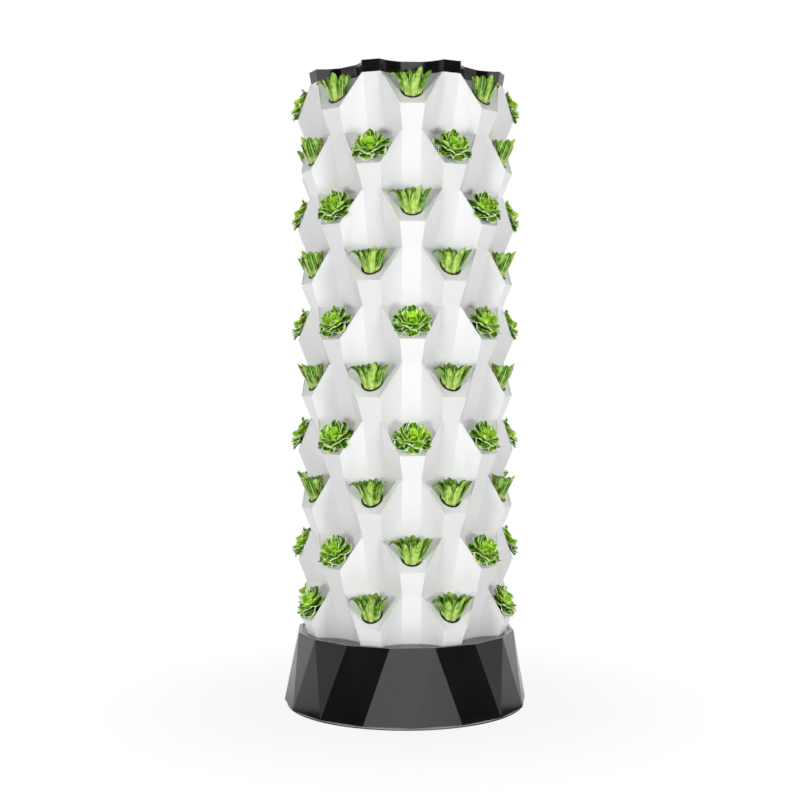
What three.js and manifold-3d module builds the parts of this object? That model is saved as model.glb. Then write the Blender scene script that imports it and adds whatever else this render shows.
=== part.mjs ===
// Vertical planter tower: a faceted water tank that carries ten stacked planting tiers of eight
// pockets each, closed by a fluted cap. A submersible pump lifts water through a central riser to a
// spray head; the water falls through a drip tray, past the roots and back into the tank.
// Millimetres, +Z up, origin on the floor under the tower's axis, the front towards -Y.
import * as THREE from 'three';
import { mergeVertices } from 'three/addons/utils/BufferGeometryUtils.js';
import Module from 'manifold-3d';

const wasm = await Module();
wasm.setup();

// Fits shared by the whole tower.
const seatGap = 0.3; // between two faces that rest on each other
const slideGap = 0.8; // round a piece that drops into a hole
const overrun = 5; // how far a cutting tool runs past the face it opens
const weldDistance = 1e-4; // corners closer than this are one
const facetDistance = 0.02; // facets that leave one plane by less than this are joined

// Facets of round fittings, alike on two that fit each other.
const roundSides = 14;
const slimSides = 10; // of shafts, hubs and small bores

// Stack of tiers.
const tierCount = 10;
const pocketCount = 8; // pockets in one tier
const tierPitch = 170; // height of one tier
const tierWall = 3;
const footHeight = 8;
const tankHeight = 223;
const tierSeatDepth = 22; // how far the bottom tier stands below the tank's rim
const capHeight = 35;

// Outline of a tier where it meets its neighbour: eight flat lands with a scoop between each two.
const landRadius = 306;
const landHalfWidth = 28.4;
const scoopDepth = 42;
const scoopSideSteps = 2; // facets on each curved side of a scoop

// Lip of a pocket, the furthest point of a tier.
const lipReach = 27.5; // beyond the lands
const lipHalfWidth = 37.2;
const lipHeight = 70.5; // above the tier's lower edge

// Net cup and the seat it drops into.
const cupRimRadius = 33;
const cupRimThickness = 2.5;
const cupMouthRadius = 29.5;
const cupFootRadius = 22;
const cupDepth = 56;
const cupWall = 1.8;
const cupSides = 8;
const cupSlotWidth = 7;
const cupSlotTop = 9; // below the rim
const cupSlotLength = 34;
const seatFromLip = 54; // lip to the cup's axis, along the opening face

// Grow plug and the head of leaves on it.
const leafSides = 8;
const leafNotchShare = 0.8; // a notch between two leaves, as a share of the tip's radius
const plainSides = 6; // of a head that is one with its tier
const plugInset = 3; // round the plug, inside the cup

// Tier's upper flange and the collar that centres the next tier.
const flangeThickness = 3;
const collarHeight = 10;
const collarWall = 3;
const collarSides = 12;
const collarPlay = 1.5; // collar to the scoops of the tier above

// Faceted tank.
const tankSides = 16;
const tankRimMargin = 34; // the bottom tier's lands to the tank's rim
const tankFlare = 39; // foot beyond the rim
const tankWall = 4;
const footPlateInset = 8; // from the tank's foot
const footPlateSides = 32;
const shelfThickness = 4;
const shelfWidth = 16; // carries the cover, inside the ledge
const ledgeWidth = 12;
const coverThickness = 3.5;
const coverBelowRim = 2;
const coverPlay = 1; // cover to the tank's wall, and tier to the cover's well
const wellWall = 3;
const wellFloorThickness = 3.5;
const wellLedge = 19; // inside the collar's radius
const wellOpeningSides = 16;

// Fittings on the cover and the tank.
const fillerHoleRadius = 15;
const fillerCapRadius = 19;
const fillerMargin = 3; // hole to the shelf's inner edge
const fillerCapHeight = 7;
const fillerPlugDepth = 12;
const fillerGripWidth = 6;
const fillerGripHeight = 7;
const fittingWall = 3; // of the filler cap and of the drain plug round its key
const grommetHoleRadius = 9;
const grommetRadius = 13;
const grommetFlange = 3;
const grommetBoreRadius = 4.5;
const drainHoleRadius = 11;
const drainHeadRadius = 17;
const drainHeadHeight = 8;
const drainSealRadius = 19;
const drainSealThickness = 2;
const drainHeightShare = 0.16; // up the tank's wall
const drainNutThickness = 6;
const nutSides = 6;

// Pump.
const pumpWidth = 96;
const pumpLength = 118;
const pumpMargin = 6; // above and below the chamber's cover
const pumpCorner = 14;
const pumpCornerSteps = 3;
const chamberRoom = 5; // round the impeller
const chamberDepth = 34;
const outletRadius = 17;
const outletBore = 11;
const outletHeight = 26;
const impellerRadius = 25;
const impellerDiscThickness = 3;
const impellerHubRadius = 8;
const impellerHubLength = 24;
const impellerBladeCount = 6;
const impellerBladeThickness = 2.4;
const impellerBladeHeight = 11;
const shaftRadius = 3;
const shaftSeatDepth = 5;
const runningGap = 0.2; // impeller on its shaft
const impellerPlay = 2; // impeller to the chamber's floor and cover
const pumpCoverLap = 6; // cover beyond the chamber
const pumpCoverThickness = 4;
const intakeRadius = 13;
const strainerSideRoom = 3.6; // strainer's walls to the cover
const strainerDepth = 22;
const strainerEndRoom = 0.6; // the same, above and below the cover
const strainerWall = 2.4;
const strainerSlots = 5;
const strainerSlotWidth = 4;
const strainerSlotLength = 54;

// Riser.
const riserRadius = 16;
const riserBore = 13;
const riserSocketDepth = 14;
const socketWall = 4;
const socketNutHeight = 24;
const couplerLength = 70;
const couplerStop = 3; // ring between the two pipes
const couplerHeightShare = 0.5; // up the stack

// Drip tray and spray head.
const trayThickness = 3;
const trayDepth = 12;
const trayHoleRadius = 5;
const trayHoleInset = 20;
const trayHoleSides = 6;
const trayCollarHeight = 8;
const sprayRadius = 24;
const sprayHeight = 20;
const sprayTop = 3;
const spraySlotWidth = 3;
const spraySlotHeight = 7;
const spraySlotCount = 4;
const riserAboveTray = 9;

// Cap.
const capFlare = 6.5; // the cap's upper edge stands this far outside its lower edge
const capWall = 3;
const capTop = 4;

// Places that follow from the sizes above.
const sector = (2 * Math.PI) / pocketCount;
const tankFootZ = footHeight;
const tankRimZ = tankFootZ + tankHeight;
const stackZ = tankRimZ - tierSeatDepth;
const stackTopZ = stackZ + tierCount * tierPitch;
const landHalfAngle = Math.atan2(landHalfWidth, landRadius);
const landCornerRadius = Math.hypot(landHalfWidth, landRadius);
const lipRadius = landRadius + lipReach;
const scoopHalfChord = landCornerRadius * Math.sin(sector / 2 - landHalfAngle);
const scoopChordRadius = landCornerRadius * Math.cos(sector / 2 - landHalfAngle);

const materials = {
  shell: new THREE.MeshStandardMaterial({ color: 0xf1f1f1, roughness: 0.35, metalness: 0 }),
  black: new THREE.MeshStandardMaterial({ color: 0x1c1c1d, roughness: 0.35, metalness: 0 }),
  cover: new THREE.MeshStandardMaterial({ color: 0x3a3a3b, roughness: 0.4, metalness: 0 }),
  cup: new THREE.MeshStandardMaterial({ color: 0x121312, roughness: 0.55, metalness: 0 }),
  leaf: new THREE.MeshStandardMaterial({ color: 0x5fa52a, roughness: 0.5, metalness: 0 }),
  pipe: new THREE.MeshStandardMaterial({ color: 0xd9dcde, roughness: 0.4, metalness: 0 }),
  pump: new THREE.MeshStandardMaterial({ color: 0x23262a, roughness: 0.5, metalness: 0 }),
  blade: new THREE.MeshStandardMaterial({ color: 0xc8ccd0, roughness: 0.45, metalness: 0 }),
  steel: new THREE.MeshStandardMaterial({ color: 0xb9bcc0, roughness: 0.3, metalness: 1 }),
  rubber: new THREE.MeshStandardMaterial({ color: 0x17181a, roughness: 0.8, metalness: 0 }),
};

// Solids and their frames.

// A closed three.js geometry as a solid, moved by an optional matrix.
function solidOf(geometry, matrix) {
  const flat = geometry.index ? geometry.toNonIndexed() : geometry.clone();
  const bare = new THREE.BufferGeometry().setAttribute('position', flat.getAttribute('position'));
  if (matrix) bare.applyMatrix4(matrix);
  const merged = mergeVertices(bare, weldDistance);
  return new wasm.Manifold(new wasm.Mesh({
    numProp: 3,
    vertProperties: new Float32Array(merged.attributes.position.array),
    triVerts: new Uint32Array(merged.index.array),
  }));
}

function geometryOf(solid) {
  const made = solid.getMesh();
  const geometry = new THREE.BufferGeometry();
  geometry.setAttribute('position', new THREE.BufferAttribute(new Float32Array(made.vertProperties), 3));
  geometry.setIndex(new THREE.BufferAttribute(new Uint32Array(made.triVerts), 1));
  geometry.computeVertexNormals();
  return geometry;
}

function pieceOf(name, solid, material) {
  const piece = new THREE.Mesh(geometryOf(solid.simplify(facetDistance)), material);
  piece.name = name;
  return piece;
}

// A point at a radius and a sideways distance, seen from the axis at an azimuth counted from the front.
function polar(radius, sideways, azimuth, z) {
  const x = radius * Math.sin(azimuth) + sideways * Math.cos(azimuth);
  const y = -radius * Math.cos(azimuth) + sideways * Math.sin(azimuth);
  return new THREE.Vector3(x, y, z);
}

function moved(x, y, z) {
  return new THREE.Matrix4().makeTranslation(x, y, z);
}

// A frame on a surface that faces outwards: its +Z leaves the surface, tilted above the horizontal.
function outwardFrame(radius, height, tilt, azimuth = 0) {
  const lean = new THREE.Matrix4().makeRotationX(Math.PI / 2 - tilt);
  return turned(azimuth).multiply(moved(0, -radius, height)).multiply(lean);
}

// Turned about the tower's axis, by an azimuth counted from the front.
function turned(azimuth) {
  return new THREE.Matrix4().makeRotationZ(azimuth);
}

// An upright frustum between two heights, made by revolving its outline.
function frustum(lowRadius, highRadius, lowZ, highZ, sides) {
  return revolved([[0, lowZ], [lowRadius, lowZ], [highRadius, highZ], [0, highZ]], sides);
}

function rod(radius, lowZ, highZ, sides) {
  return frustum(radius, radius, lowZ, highZ, sides);
}

function tube(radius, bore, lowZ, highZ, sides) {
  return rod(radius, lowZ, highZ, sides).subtract(rod(bore, lowZ - overrun, highZ + overrun, sides));
}

// An outline of [radius, height] points that starts and ends on the axis, revolved about +Z.
function revolved(outline, sides) {
  const points = outline.map(([radius, height]) => new THREE.Vector2(radius, height));
  const upright = new THREE.Matrix4().makeRotationX(Math.PI / 2);
  return solidOf(new THREE.LatheGeometry(points, sides), upright);
}

function block(width, depth, lowZ, highZ, matrix) {
  const geometry = new THREE.BoxGeometry(width, depth, highZ - lowZ);
  geometry.translate(0, 0, (lowZ + highZ) / 2);
  return solidOf(geometry, matrix);
}

// Collects triangles and closes them into a solid.
class Skin {
  constructor() {
    this.corners = [];
  }

  triangle(a, b, c) {
    this.corners.push(...a.toArray(), ...b.toArray(), ...c.toArray());
  }

  // A strip between two rows of points; rows may differ in length.
  strip(lower, upper) {
    let i = 0;
    let j = 0;
    while (i < lower.length - 1 || j < upper.length - 1) {
      const nextLow = (i + 1) / (lower.length - 1 || 1);
      const nextHigh = (j + 1) / (upper.length - 1 || 1);
      const stepLow = j === upper.length - 1 || (i < lower.length - 1 && nextLow <= nextHigh);
      if (stepLow) {
        this.triangle(lower[i], lower[i + 1], upper[j]);
        i += 1;
      } else {
        this.triangle(lower[i], upper[j + 1], upper[j]);
        j += 1;
      }
    }
  }

  // A level face inside a closed row of points, looking up or down.
  cap(row, up) {
    const flat = row.map((p) => new THREE.Vector2(p.x, p.y));
    for (const [a, b, c] of THREE.ShapeUtils.triangulateShape(flat, [])) {
      if (up) this.triangle(row[a], row[b], row[c]);
      else this.triangle(row[c], row[b], row[a]);
    }
  }

  // Walls through closed rows of points, from the lowest up, with a face at each end.
  loft(rows) {
    rows.slice(1).forEach((row, k) => {
      this.strip([...rows[k], rows[k][0]], [...row, row[0]]);
    });
    this.cap(rows[0], false);
    this.cap(rows[rows.length - 1], true);
    return this.solid();
  }

  solid() {
    const geometry = new THREE.BufferGeometry();
    geometry.setAttribute('position', new THREE.Float32BufferAttribute(this.corners, 3));
    return solidOf(geometry);
  }
}

// The tier's outline.

// Sizes of the outline when every wall is moved inwards by inset.
function outlineSizes(inset) {
  const land = landRadius - inset;
  const landWidth = landHalfWidth - inset * Math.tan(sector / 4);
  const corner = Math.hypot(land, landWidth);
  const halfAngle = sector / 2 - Math.atan2(landWidth, land);
  return {
    land,
    landWidth,
    lip: lipRadius - inset,
    lipWidth: lipHalfWidth - inset * Math.tan(sector / 4),
    chord: corner * Math.cos(halfAngle),
    halfChord: corner * Math.sin(halfAngle),
  };
}

// How far a scoop lies behind its chord, at a sideways distance from its middle.
function scoopDepthAt(sideways, halfChord) {
  const radius = (halfChord ** 2 + scoopDepth ** 2) / (2 * scoopDepth);
  return Math.sqrt(radius ** 2 - sideways ** 2) - (radius - scoopDepth);
}

// Sideways places across a scoop: its curved sides in steps and one facet as wide as a land.
function scoopPlaces(halfChord, middle) {
  const places = [];
  for (let i = 0; i <= scoopSideSteps; i += 1) {
    places.push(halfChord + ((middle - halfChord) * i) / scoopSideSteps);
  }
  return [...places.map((p) => -p), ...places.reverse()];
}

function scoopRow(size, azimuth, z) {
  return scoopPlaces(size.halfChord, size.landWidth).map((sideways) => (
    polar(size.chord - scoopDepthAt(sideways, size.halfChord), sideways, azimuth, z)
  ));
}

function lipRow(size, azimuth, z) {
  return [-1, 1].map((side) => polar(size.lip, side * size.lipWidth, azimuth, z));
}

function landRow(size, azimuth, z) {
  return [-1, 1].map((side) => polar(size.land, side * size.landWidth, azimuth, z));
}

// One tier as a full body up to topZ, pockets at azimuths 0, 1/8 turn and so on; below extends its foot.
function tierBody(inset, topZ, below = 0) {
  const size = outlineSizes(inset);
  const skin = new Skin();
  const footRow = [];
  const topRow = [];
  for (let i = 0; i < pocketCount; i += 1) {
    const pocket = i * sector;
    const between = pocket + sector / 2;
    const land = landRow(size, pocket, seatGap);
    const lip = lipRow(size, pocket, lipHeight);
    const scoopAbove = scoopRow(size, pocket, topZ);
    const scoopBelow = scoopRow(size, between, seatGap);
    const landAbove = landRow(size, between, topZ);
    const nextLip = lipRow(size, pocket + sector, lipHeight);
    const middle = scoopBelow.length / 2;
    skin.strip(land, lip);
    skin.strip([lip[0]], scoopAbove.slice(0, middle));
    skin.strip(lip, scoopAbove.slice(middle - 1, middle + 1));
    skin.strip([lip[1]], scoopAbove.slice(middle));
    skin.triangle(scoopBelow[0], landAbove[0], lip[1]);
    skin.strip(scoopBelow.slice(0, middle), [landAbove[0]]);
    skin.strip(scoopBelow.slice(middle - 1, middle + 1), landAbove);
    skin.strip(scoopBelow.slice(middle), [landAbove[1]]);
    skin.triangle(scoopBelow[scoopBelow.length - 1], nextLip[0], landAbove[1]);
    footRow.push(...land, ...scoopBelow.slice(1, -1));
    topRow.push(...scoopAbove);
  }
  skin.cap(topRow, true);
  if (below > 0) {
    const lowRow = footRow.map((p) => p.clone().setZ(-below));
    skin.strip([...lowRow, lowRow[0]], [...footRow, footRow[0]]);
    skin.cap(lowRow, false);
  } else {
    skin.cap(footRow, false);
  }
  return skin.solid();
}

// A point moved away from the tower's axis.
function grown(point, play) {
  const share = 1 + play / Math.hypot(point.x, point.y);
  return new THREE.Vector3(point.x * share, point.y * share, point.z);
}

// The tier's outline at a height below the lips, each point moved outwards by play.
function outlineAt(height, play, z) {
  const size = outlineSizes(0);
  const upLip = height / lipHeight;
  const upTier = height / tierPitch;
  const row = [];
  for (let i = 0; i < pocketCount; i += 1) {
    const pocket = i * sector;
    const between = pocket + sector / 2;
    const radius = size.land + (size.lip - size.land) * upLip;
    const width = size.landWidth + (size.lipWidth - size.landWidth) * upLip;
    row.push(polar(radius, -width, pocket, z), polar(radius, width, pocket, z));
    const low = scoopRow(size, between, z);
    const high = landRow(size, between, z);
    low.forEach((p, k) => row.push(p.lerp(high[k < low.length / 2 ? 0 : 1], upTier)));
  }
  return row.map((p) => grown(p, play));
}

// The cup's seat.

const facetDepth = scoopDepthAt(landHalfWidth, scoopHalfChord);
const openingRun = lipRadius - (scoopChordRadius - facetDepth);
const openingRise = tierPitch - lipHeight;
const openingLength = Math.hypot(openingRun, openingRise);
const cupTilt = Math.atan2(openingRun, openingRise); // the cup's axis above the horizontal
const seatRadius = lipRadius - (openingRun * seatFromLip) / openingLength;
const seatHeight = lipHeight + (openingRise * seatFromLip) / openingLength;

// From the cup's own frame, +Z out of its mouth and the rim's underside at 0, to the front pocket.
function seatFrame() {
  return outwardFrame(seatRadius, seatHeight, cupTilt);
}

function placed(solid, matrix) {
  return solidOf(geometryOf(solid), matrix);
}

// Hole through the flat middle of the opening face, on which the cup's rim rests.
function seatHole() {
  return placed(rod(cupMouthRadius + slideGap, -tierWall - overrun, overrun, cupSides), seatFrame());
}

// Net cup with slots down its sides, in its own frame.
function netCup() {
  const lowZ = -cupDepth;
  const floorZ = lowZ + cupWall;
  const outside = frustum(cupFootRadius, cupMouthRadius, lowZ, seatGap, cupSides)
    .add(rod(cupRimRadius, seatGap, seatGap + cupRimThickness, cupSides));
  const inside = frustum(
    cupFootRadius - cupWall, cupMouthRadius - cupWall, floorZ, cupRimThickness + overrun, cupSides,
  );
  let cup = outside.subtract(inside);
  for (let i = 0; i < cupSides / 4; i += 1) {
    const turn = turned(((4 * i + 1) * Math.PI) / cupSides);
    const span = 2 * cupMouthRadius + overrun;
    cup = cup.subtract(block(cupSlotWidth, span, -cupSlotTop - cupSlotLength, -cupSlotTop, turn));
  }
  return cup;
}

// A head of leaves: rings of leaf tips and notches along a spine that bends from the cup's axis
// towards the vertical. Each row is [distance along the spine, radius, bend share, notch share].
function leafHead(rows, turn, sides) {
  const skin = new Skin();
  const upright = new THREE.Vector3(0, Math.cos(cupTilt), Math.sin(cupTilt));
  const start = new THREE.Vector3(0, 0, 1);
  const rings = [];
  const spine = new THREE.Vector3();
  let along = 0;
  rows.forEach(([distance, radius, bend, notch]) => {
    const heading = start.clone().lerp(upright, bend).normalize();
    spine.addScaledVector(heading, distance - along);
    along = distance;
    const side = new THREE.Vector3(1, 0, 0);
    const across = heading.clone().cross(side);
    const ring = [];
    for (let i = 0; i < sides; i += 1) {
      const angle = turn + (2 * Math.PI * i) / sides;
      const reach = radius * (i % 2 ? notch : 1);
      ring.push(spine.clone()
        .addScaledVector(side, reach * Math.cos(angle))
        .addScaledVector(across, reach * Math.sin(angle)));
    }
    rings.push(ring);
  });
  const last = rings.length - 1;
  for (let i = 0; i < sides; i += 1) {
    const j = (i + 1) % sides;
    for (let k = 0; k < last; k += 1) {
      skin.triangle(rings[k][i], rings[k][j], rings[k + 1][j]);
      skin.triangle(rings[k][i], rings[k + 1][j], rings[k + 1][i]);
    }
  }
  for (let i = 1; i < sides - 1; i += 1) {
    skin.triangle(rings[0][0], rings[0][i + 1], rings[0][i]);
    skin.triangle(rings[last][0], rings[last][i], rings[last][i + 1]);
  }
  return skin.solid();
}

// Distances along the spine and radii of the two heads: upright leaves that open like a vase, and a
// low rosette. The shares say how far the spine has bent to the vertical at each row.
const uprightHead = { waist: 36, tip: 88, waistRadius: 38, tipRadius: 46, bendShares: [0.55, 0.95] };
const rosetteHead = { waist: 24, tip: 56, waistRadius: 52, tipRadius: 42, bendShares: [0.3, 0.6] };

function lettuce(upright) {
  const head = upright ? uprightHead : rosetteHead;
  const neckRadius = cupMouthRadius - cupWall - plugInset;
  const rows = [
    [-cupDepth + cupWall + seatGap, cupFootRadius - cupWall - plugInset, 0, 1],
    [cupRimThickness + plugInset, neckRadius, 0, 1],
    [head.waist, head.waistRadius, head.bendShares[0], leafNotchShare],
    [head.tip, head.tipRadius, head.bendShares[1], leafNotchShare],
  ];
  return leafHead(rows, 0, leafSides);
}

// The head of leaves alone, one with the wall that carries it, for a pocket whose cup has no node of
// its own.
function plainHead(upright) {
  const head = upright ? uprightHead : rosetteHead;
  const [low, high] = head.bendShares;
  const bend = (head.waist * low + (head.tip - head.waist) * high) / head.tip;
  const rows = [
    [-tierWall / 2, cupMouthRadius, 0, 1],
    [head.tip, Math.max(head.waistRadius, head.tipRadius), bend, 1],
  ];
  return leafHead(rows, 0, plainSides);
}

// Tiers.

// The kinds of lettuce around the tower follow the photographed planting: which tiers are upright.
function isUpright(tier, pocket) {
  const fromFront = Math.min(pocket, pocketCount - pocket);
  if (tier === tierCount) return fromFront < 2;
  if (tier === 1) return fromFront === 0 || pocket === pocketCount - 1;
  if (tier === tierCount - 1) return !(fromFront === 0 || pocket === pocketCount - 1);
  if (tier % 2) return true;
  return fromFront === 0 && (tier === 2 || tier === tierCount - 2);
}

function tierAzimuth(tier) {
  return tier % 2 ? sector / 2 : 0;
}

const collarRadius = (() => {
  const inside = outlineSizes(tierWall);
  return inside.chord - scoopDepthAt(0, inside.halfChord) - collarPlay;
})();

function tierShell() {
  const body = tierBody(0, tierPitch);
  const hollow = tierBody(tierWall, tierPitch - flangeThickness, overrun);
  const opening = rod(collarRadius - collarWall, -overrun, tierPitch + overrun, collarSides);
  const collar = tube(
    collarRadius, collarRadius - collarWall, tierPitch - flangeThickness, tierPitch + collarHeight,
    collarSides,
  );
  return body.subtract(hollow).subtract(opening).add(collar).subtract(seatHole());
}

// Pocket 0 keeps its open seat, because its cup and lettuce are pieces of their own.
function plantedTier(shell, tier) {
  let solid = shell;
  for (let pocket = 1; pocket < pocketCount; pocket += 1) {
    const frame = turned(pocket * sector).multiply(seatFrame());
    solid = solid.add(placed(plainHead(isUpright(tier, pocket)), frame));
  }
  return solid;
}

function tiers() {
  const group = new THREE.Group();
  const shell = tierShell();
  const cup = netCup();
  for (let tier = 1; tier <= tierCount; tier += 1) {
    const level = new THREE.Group();
    const number = String(tier).padStart(2, '0');
    const frame = seatFrame();
    level.position.z = stackZ + (tier - 1) * tierPitch;
    level.rotation.z = tierAzimuth(tier);
    const head = lettuce(isUpright(tier, 0));
    level.add(pieceOf(`tier_${number}`, plantedTier(shell, tier), materials.shell));
    level.add(pieceOf(`net_cup_${number}`, placed(cup, frame), materials.cup));
    level.add(pieceOf(`lettuce_${number}`, placed(head, frame), materials.leaf));
    group.add(level);
  }
  return group;
}

// Cap.

// The tier's upper outline, each point moved outwards by play.
function topOutline(inset, play, z) {
  const size = outlineSizes(inset);
  const row = [];
  for (let i = 0; i < pocketCount; i += 1) {
    row.push(...scoopRow(size, i * sector, z).map((p) => grown(p, play)));
  }
  return row;
}

function topCap() {
  const lowZ = stackTopZ + seatGap;
  const highZ = stackTopZ + capHeight;
  const outside = new Skin().loft([topOutline(0, 0, lowZ), topOutline(0, capFlare, highZ)]);
  const rows = [topOutline(capWall, 0, lowZ), topOutline(capWall, capFlare, highZ)];
  const below = topOutline(capWall, 0, lowZ - overrun);
  const ceiling = block(2 * lipRadius, 2 * lipRadius, highZ - capTop, highZ + overrun);
  const cap = outside.subtract(new Skin().loft([below, ...rows]).subtract(ceiling));
  return pieceOf('top_cap', placed(cap, turned(tierAzimuth(tierCount))), materials.black);
}

// Tank, its cover and their fittings.

const rimTurn = Math.PI / tankSides; // the rim's corners stand between the foot's
const tankRimRadius = landRadius + tankRimMargin;
const tankFootRadius = tankRimRadius + tankFlare;
const coverTopZ = tankRimZ - coverBelowRim;
const coverFootZ = coverTopZ - coverThickness;
const shelfTopZ = coverFootZ - seatGap;
const shelfRadius = tankRimRadius - ledgeWidth - shelfWidth;

function ringOf(radius, turn, z) {
  const row = [];
  for (let i = 0; i < tankSides; i += 1) row.push(polar(radius, 0, turn + 2 * i * rimTurn, z));
  return row;
}

function rimPrism(radius, lowZ, highZ) {
  return new Skin().loft([ringOf(radius, rimTurn, lowZ), ringOf(radius, rimTurn, highZ)]);
}

function tankLoft(inset) {
  return new Skin().loft([
    ringOf(tankFootRadius - inset, 0, tankFootZ),
    ringOf(tankRimRadius - inset, rimTurn, tankRimZ),
  ]);
}

// The well's shape round the bottom tier's foot, play away from the tier, between two heights.
function wellLoft(play, lowZ, highZ) {
  const rows = [lowZ, highZ].map((z) => outlineAt(Math.max(0, z - stackZ), play, z));
  return placed(new Skin().loft(rows), turned(tierAzimuth(1)));
}

// Drain in the rear wall, on a facet that is widest at its foot.
const drainFacetRadius = tankFootRadius * Math.cos(rimTurn);
const drainTilt = Math.atan2(drainFacetRadius - tankRimRadius, tankHeight);
const drainAzimuth = Math.PI - rimTurn;
const drainRadius = drainFacetRadius + (tankRimRadius - drainFacetRadius) * drainHeightShare;
const drainZ = tankFootZ + tankHeight * drainHeightShare;

function drainFrame() {
  return outwardFrame(drainRadius, drainZ, drainTilt, drainAzimuth);
}

function tank() {
  const room = block(
    2 * tankFootRadius, 2 * tankFootRadius, tankFootZ + tankWall, shelfTopZ - shelfThickness,
  );
  const rebate = rimPrism(tankRimRadius - ledgeWidth, shelfTopZ, tankRimZ + overrun);
  const shelfOpening = rimPrism(shelfRadius, shelfTopZ - shelfThickness - overrun, tankRimZ + overrun);
  const wellRoom = wellLoft(coverPlay + wellWall + slideGap, shelfTopZ - shelfThickness - overrun, tankRimZ);
  const drain = placed(rod(drainHoleRadius, -tankWall - overrun, overrun, roundSides), drainFrame());
  const solid = tankLoft(0)
    .subtract(tankLoft(tankWall).intersect(room))
    .subtract(rebate)
    .subtract(shelfOpening)
    .subtract(wellRoom)
    .subtract(drain);
  return pieceOf('tank', solid, materials.black);
}

// Filler and grommet stand in two of the rear scoops, between the bottom tier and the shelf.
const fillerAzimuth = Math.PI;
const fillerPlace = shelfRadius * Math.cos(rimTurn) - fillerHoleRadius - fillerMargin;
const grommetAzimuth = fillerAzimuth - sector;

function fillerFrame() {
  const place = polar(fillerPlace, 0, fillerAzimuth, coverTopZ);
  return moved(place.x, place.y, place.z);
}

function grommetFrame() {
  const place = polar(fillerPlace, 0, grommetAzimuth, coverTopZ);
  return moved(place.x, place.y, place.z);
}

const wellOpeningRadius = collarRadius - wellLedge;

function tankCover() {
  const plate = rimPrism(tankRimRadius - ledgeWidth - coverPlay, coverFootZ, coverTopZ);
  const well = wellLoft(coverPlay + wellWall, stackZ - wellFloorThickness, coverTopZ);
  const inside = wellLoft(coverPlay, stackZ, coverTopZ + overrun);
  const opening = rod(
    wellOpeningRadius, stackZ - wellFloorThickness - overrun, coverTopZ + overrun, wellOpeningSides,
  );
  const filler = placed(
    rod(fillerHoleRadius, -coverThickness - overrun, overrun, roundSides), fillerFrame(),
  );
  const grommet = placed(
    rod(grommetHoleRadius, -coverThickness - overrun, overrun, slimSides), grommetFrame(),
  );
  const solid = plate.add(well)
    .subtract(inside)
    .subtract(opening)
    .subtract(filler)
    .subtract(grommet);
  return pieceOf('tank_cover', solid, materials.cover);
}

// Quarter-turn cap with a grip rib across it.
function fillerCap() {
  const plug = rod(fillerHoleRadius - slideGap, -fillerPlugDepth, seatGap, roundSides);
  const head = frustum(
    fillerCapRadius, fillerCapRadius - fittingWall, seatGap, seatGap + fillerCapHeight, roundSides,
  );
  const grip = block(
    2 * (fillerCapRadius - fittingWall - slideGap), fillerGripWidth, fillerCapHeight - fittingWall,
    fillerCapHeight + fillerGripHeight,
  );
  const solid = placed(plug.add(head).add(grip), fillerFrame());
  return pieceOf('filler_cap', solid, materials.black);
}

function cableGrommet() {
  const bush = rod(
    grommetHoleRadius - seatGap, -coverThickness - grommetFlange, seatGap, slimSides,
  );
  const flange = rod(grommetRadius, seatGap, seatGap + grommetFlange, slimSides);
  const bore = rod(
    grommetBoreRadius, -coverThickness - grommetFlange - overrun, grommetFlange + overrun, slimSides,
  );
  const solid = placed(bush.add(flange).subtract(bore), grommetFrame());
  return pieceOf('cable_grommet', solid, materials.rubber);
}

function drainFittings() {
  const frame = drainFrame();
  const sealTop = seatGap + drainSealThickness;
  const headZ = sealTop + seatGap;
  const nutTop = -tankWall - seatGap;
  const nutZ = nutTop - drainNutThickness;
  const shank = drainHoleRadius - slideGap;
  const keyZ = headZ + fittingWall;
  const socket = rod(shank - fittingWall, keyZ, headZ + drainHeadHeight + overrun, nutSides);
  const plug = rod(shank, nutZ, keyZ, roundSides)
    .add(rod(drainHeadRadius, headZ, headZ + drainHeadHeight, roundSides))
    .subtract(socket);
  const seal = tube(drainSealRadius, drainHoleRadius, seatGap, sealTop, roundSides);
  const nut = rod(drainSealRadius, nutZ, nutTop, nutSides)
    .subtract(rod(shank + seatGap, nutZ - overrun, nutTop + overrun, roundSides));
  return [
    pieceOf('drain_plug', placed(plug, frame), materials.black),
    pieceOf('drain_seal', placed(seal, frame), materials.rubber),
    pieceOf('drain_nut', placed(nut, frame), materials.black),
  ];
}

function footPlate() {
  const disc = rod(tankFootRadius - footPlateInset, 0, footHeight - seatGap, footPlateSides);
  return pieceOf('foot_plate', disc, materials.black);
}

// Pump on the tank's floor, its chamber under the riser and its intake towards the front.

const chamberRadius = impellerRadius + chamberRoom;
const pumpCoverRadius = chamberRadius + pumpCoverLap;
const pumpHeight = 2 * (pumpCoverRadius + pumpMargin);
const pumpFootZ = tankFootZ + tankWall + seatGap;
const chamberZ = pumpFootZ + pumpHeight / 2;
const outletTopZ = pumpFootZ + pumpHeight + outletHeight;

// On the pump's front face, +Z out of the chamber.
function chamberFrame() {
  return outwardFrame(chamberDepth / 2, chamberZ, 0);
}

function roundedBlock(width, depth, corner, lowZ, highZ, matrix) {
  const x = width / 2 - corner;
  const y = depth / 2 - corner;
  const shape = new THREE.Shape();
  shape.absarc(x, y, corner, 0, Math.PI / 2);
  shape.absarc(-x, y, corner, Math.PI / 2, Math.PI);
  shape.absarc(-x, -y, corner, Math.PI, 1.5 * Math.PI);
  shape.absarc(x, -y, corner, 1.5 * Math.PI, 2 * Math.PI);
  const geometry = new THREE.ExtrudeGeometry(shape, {
    depth: highZ - lowZ,
    bevelEnabled: false,
    curveSegments: pumpCornerSteps,
  });
  geometry.translate(0, 0, lowZ);
  return solidOf(geometry, matrix);
}

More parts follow.
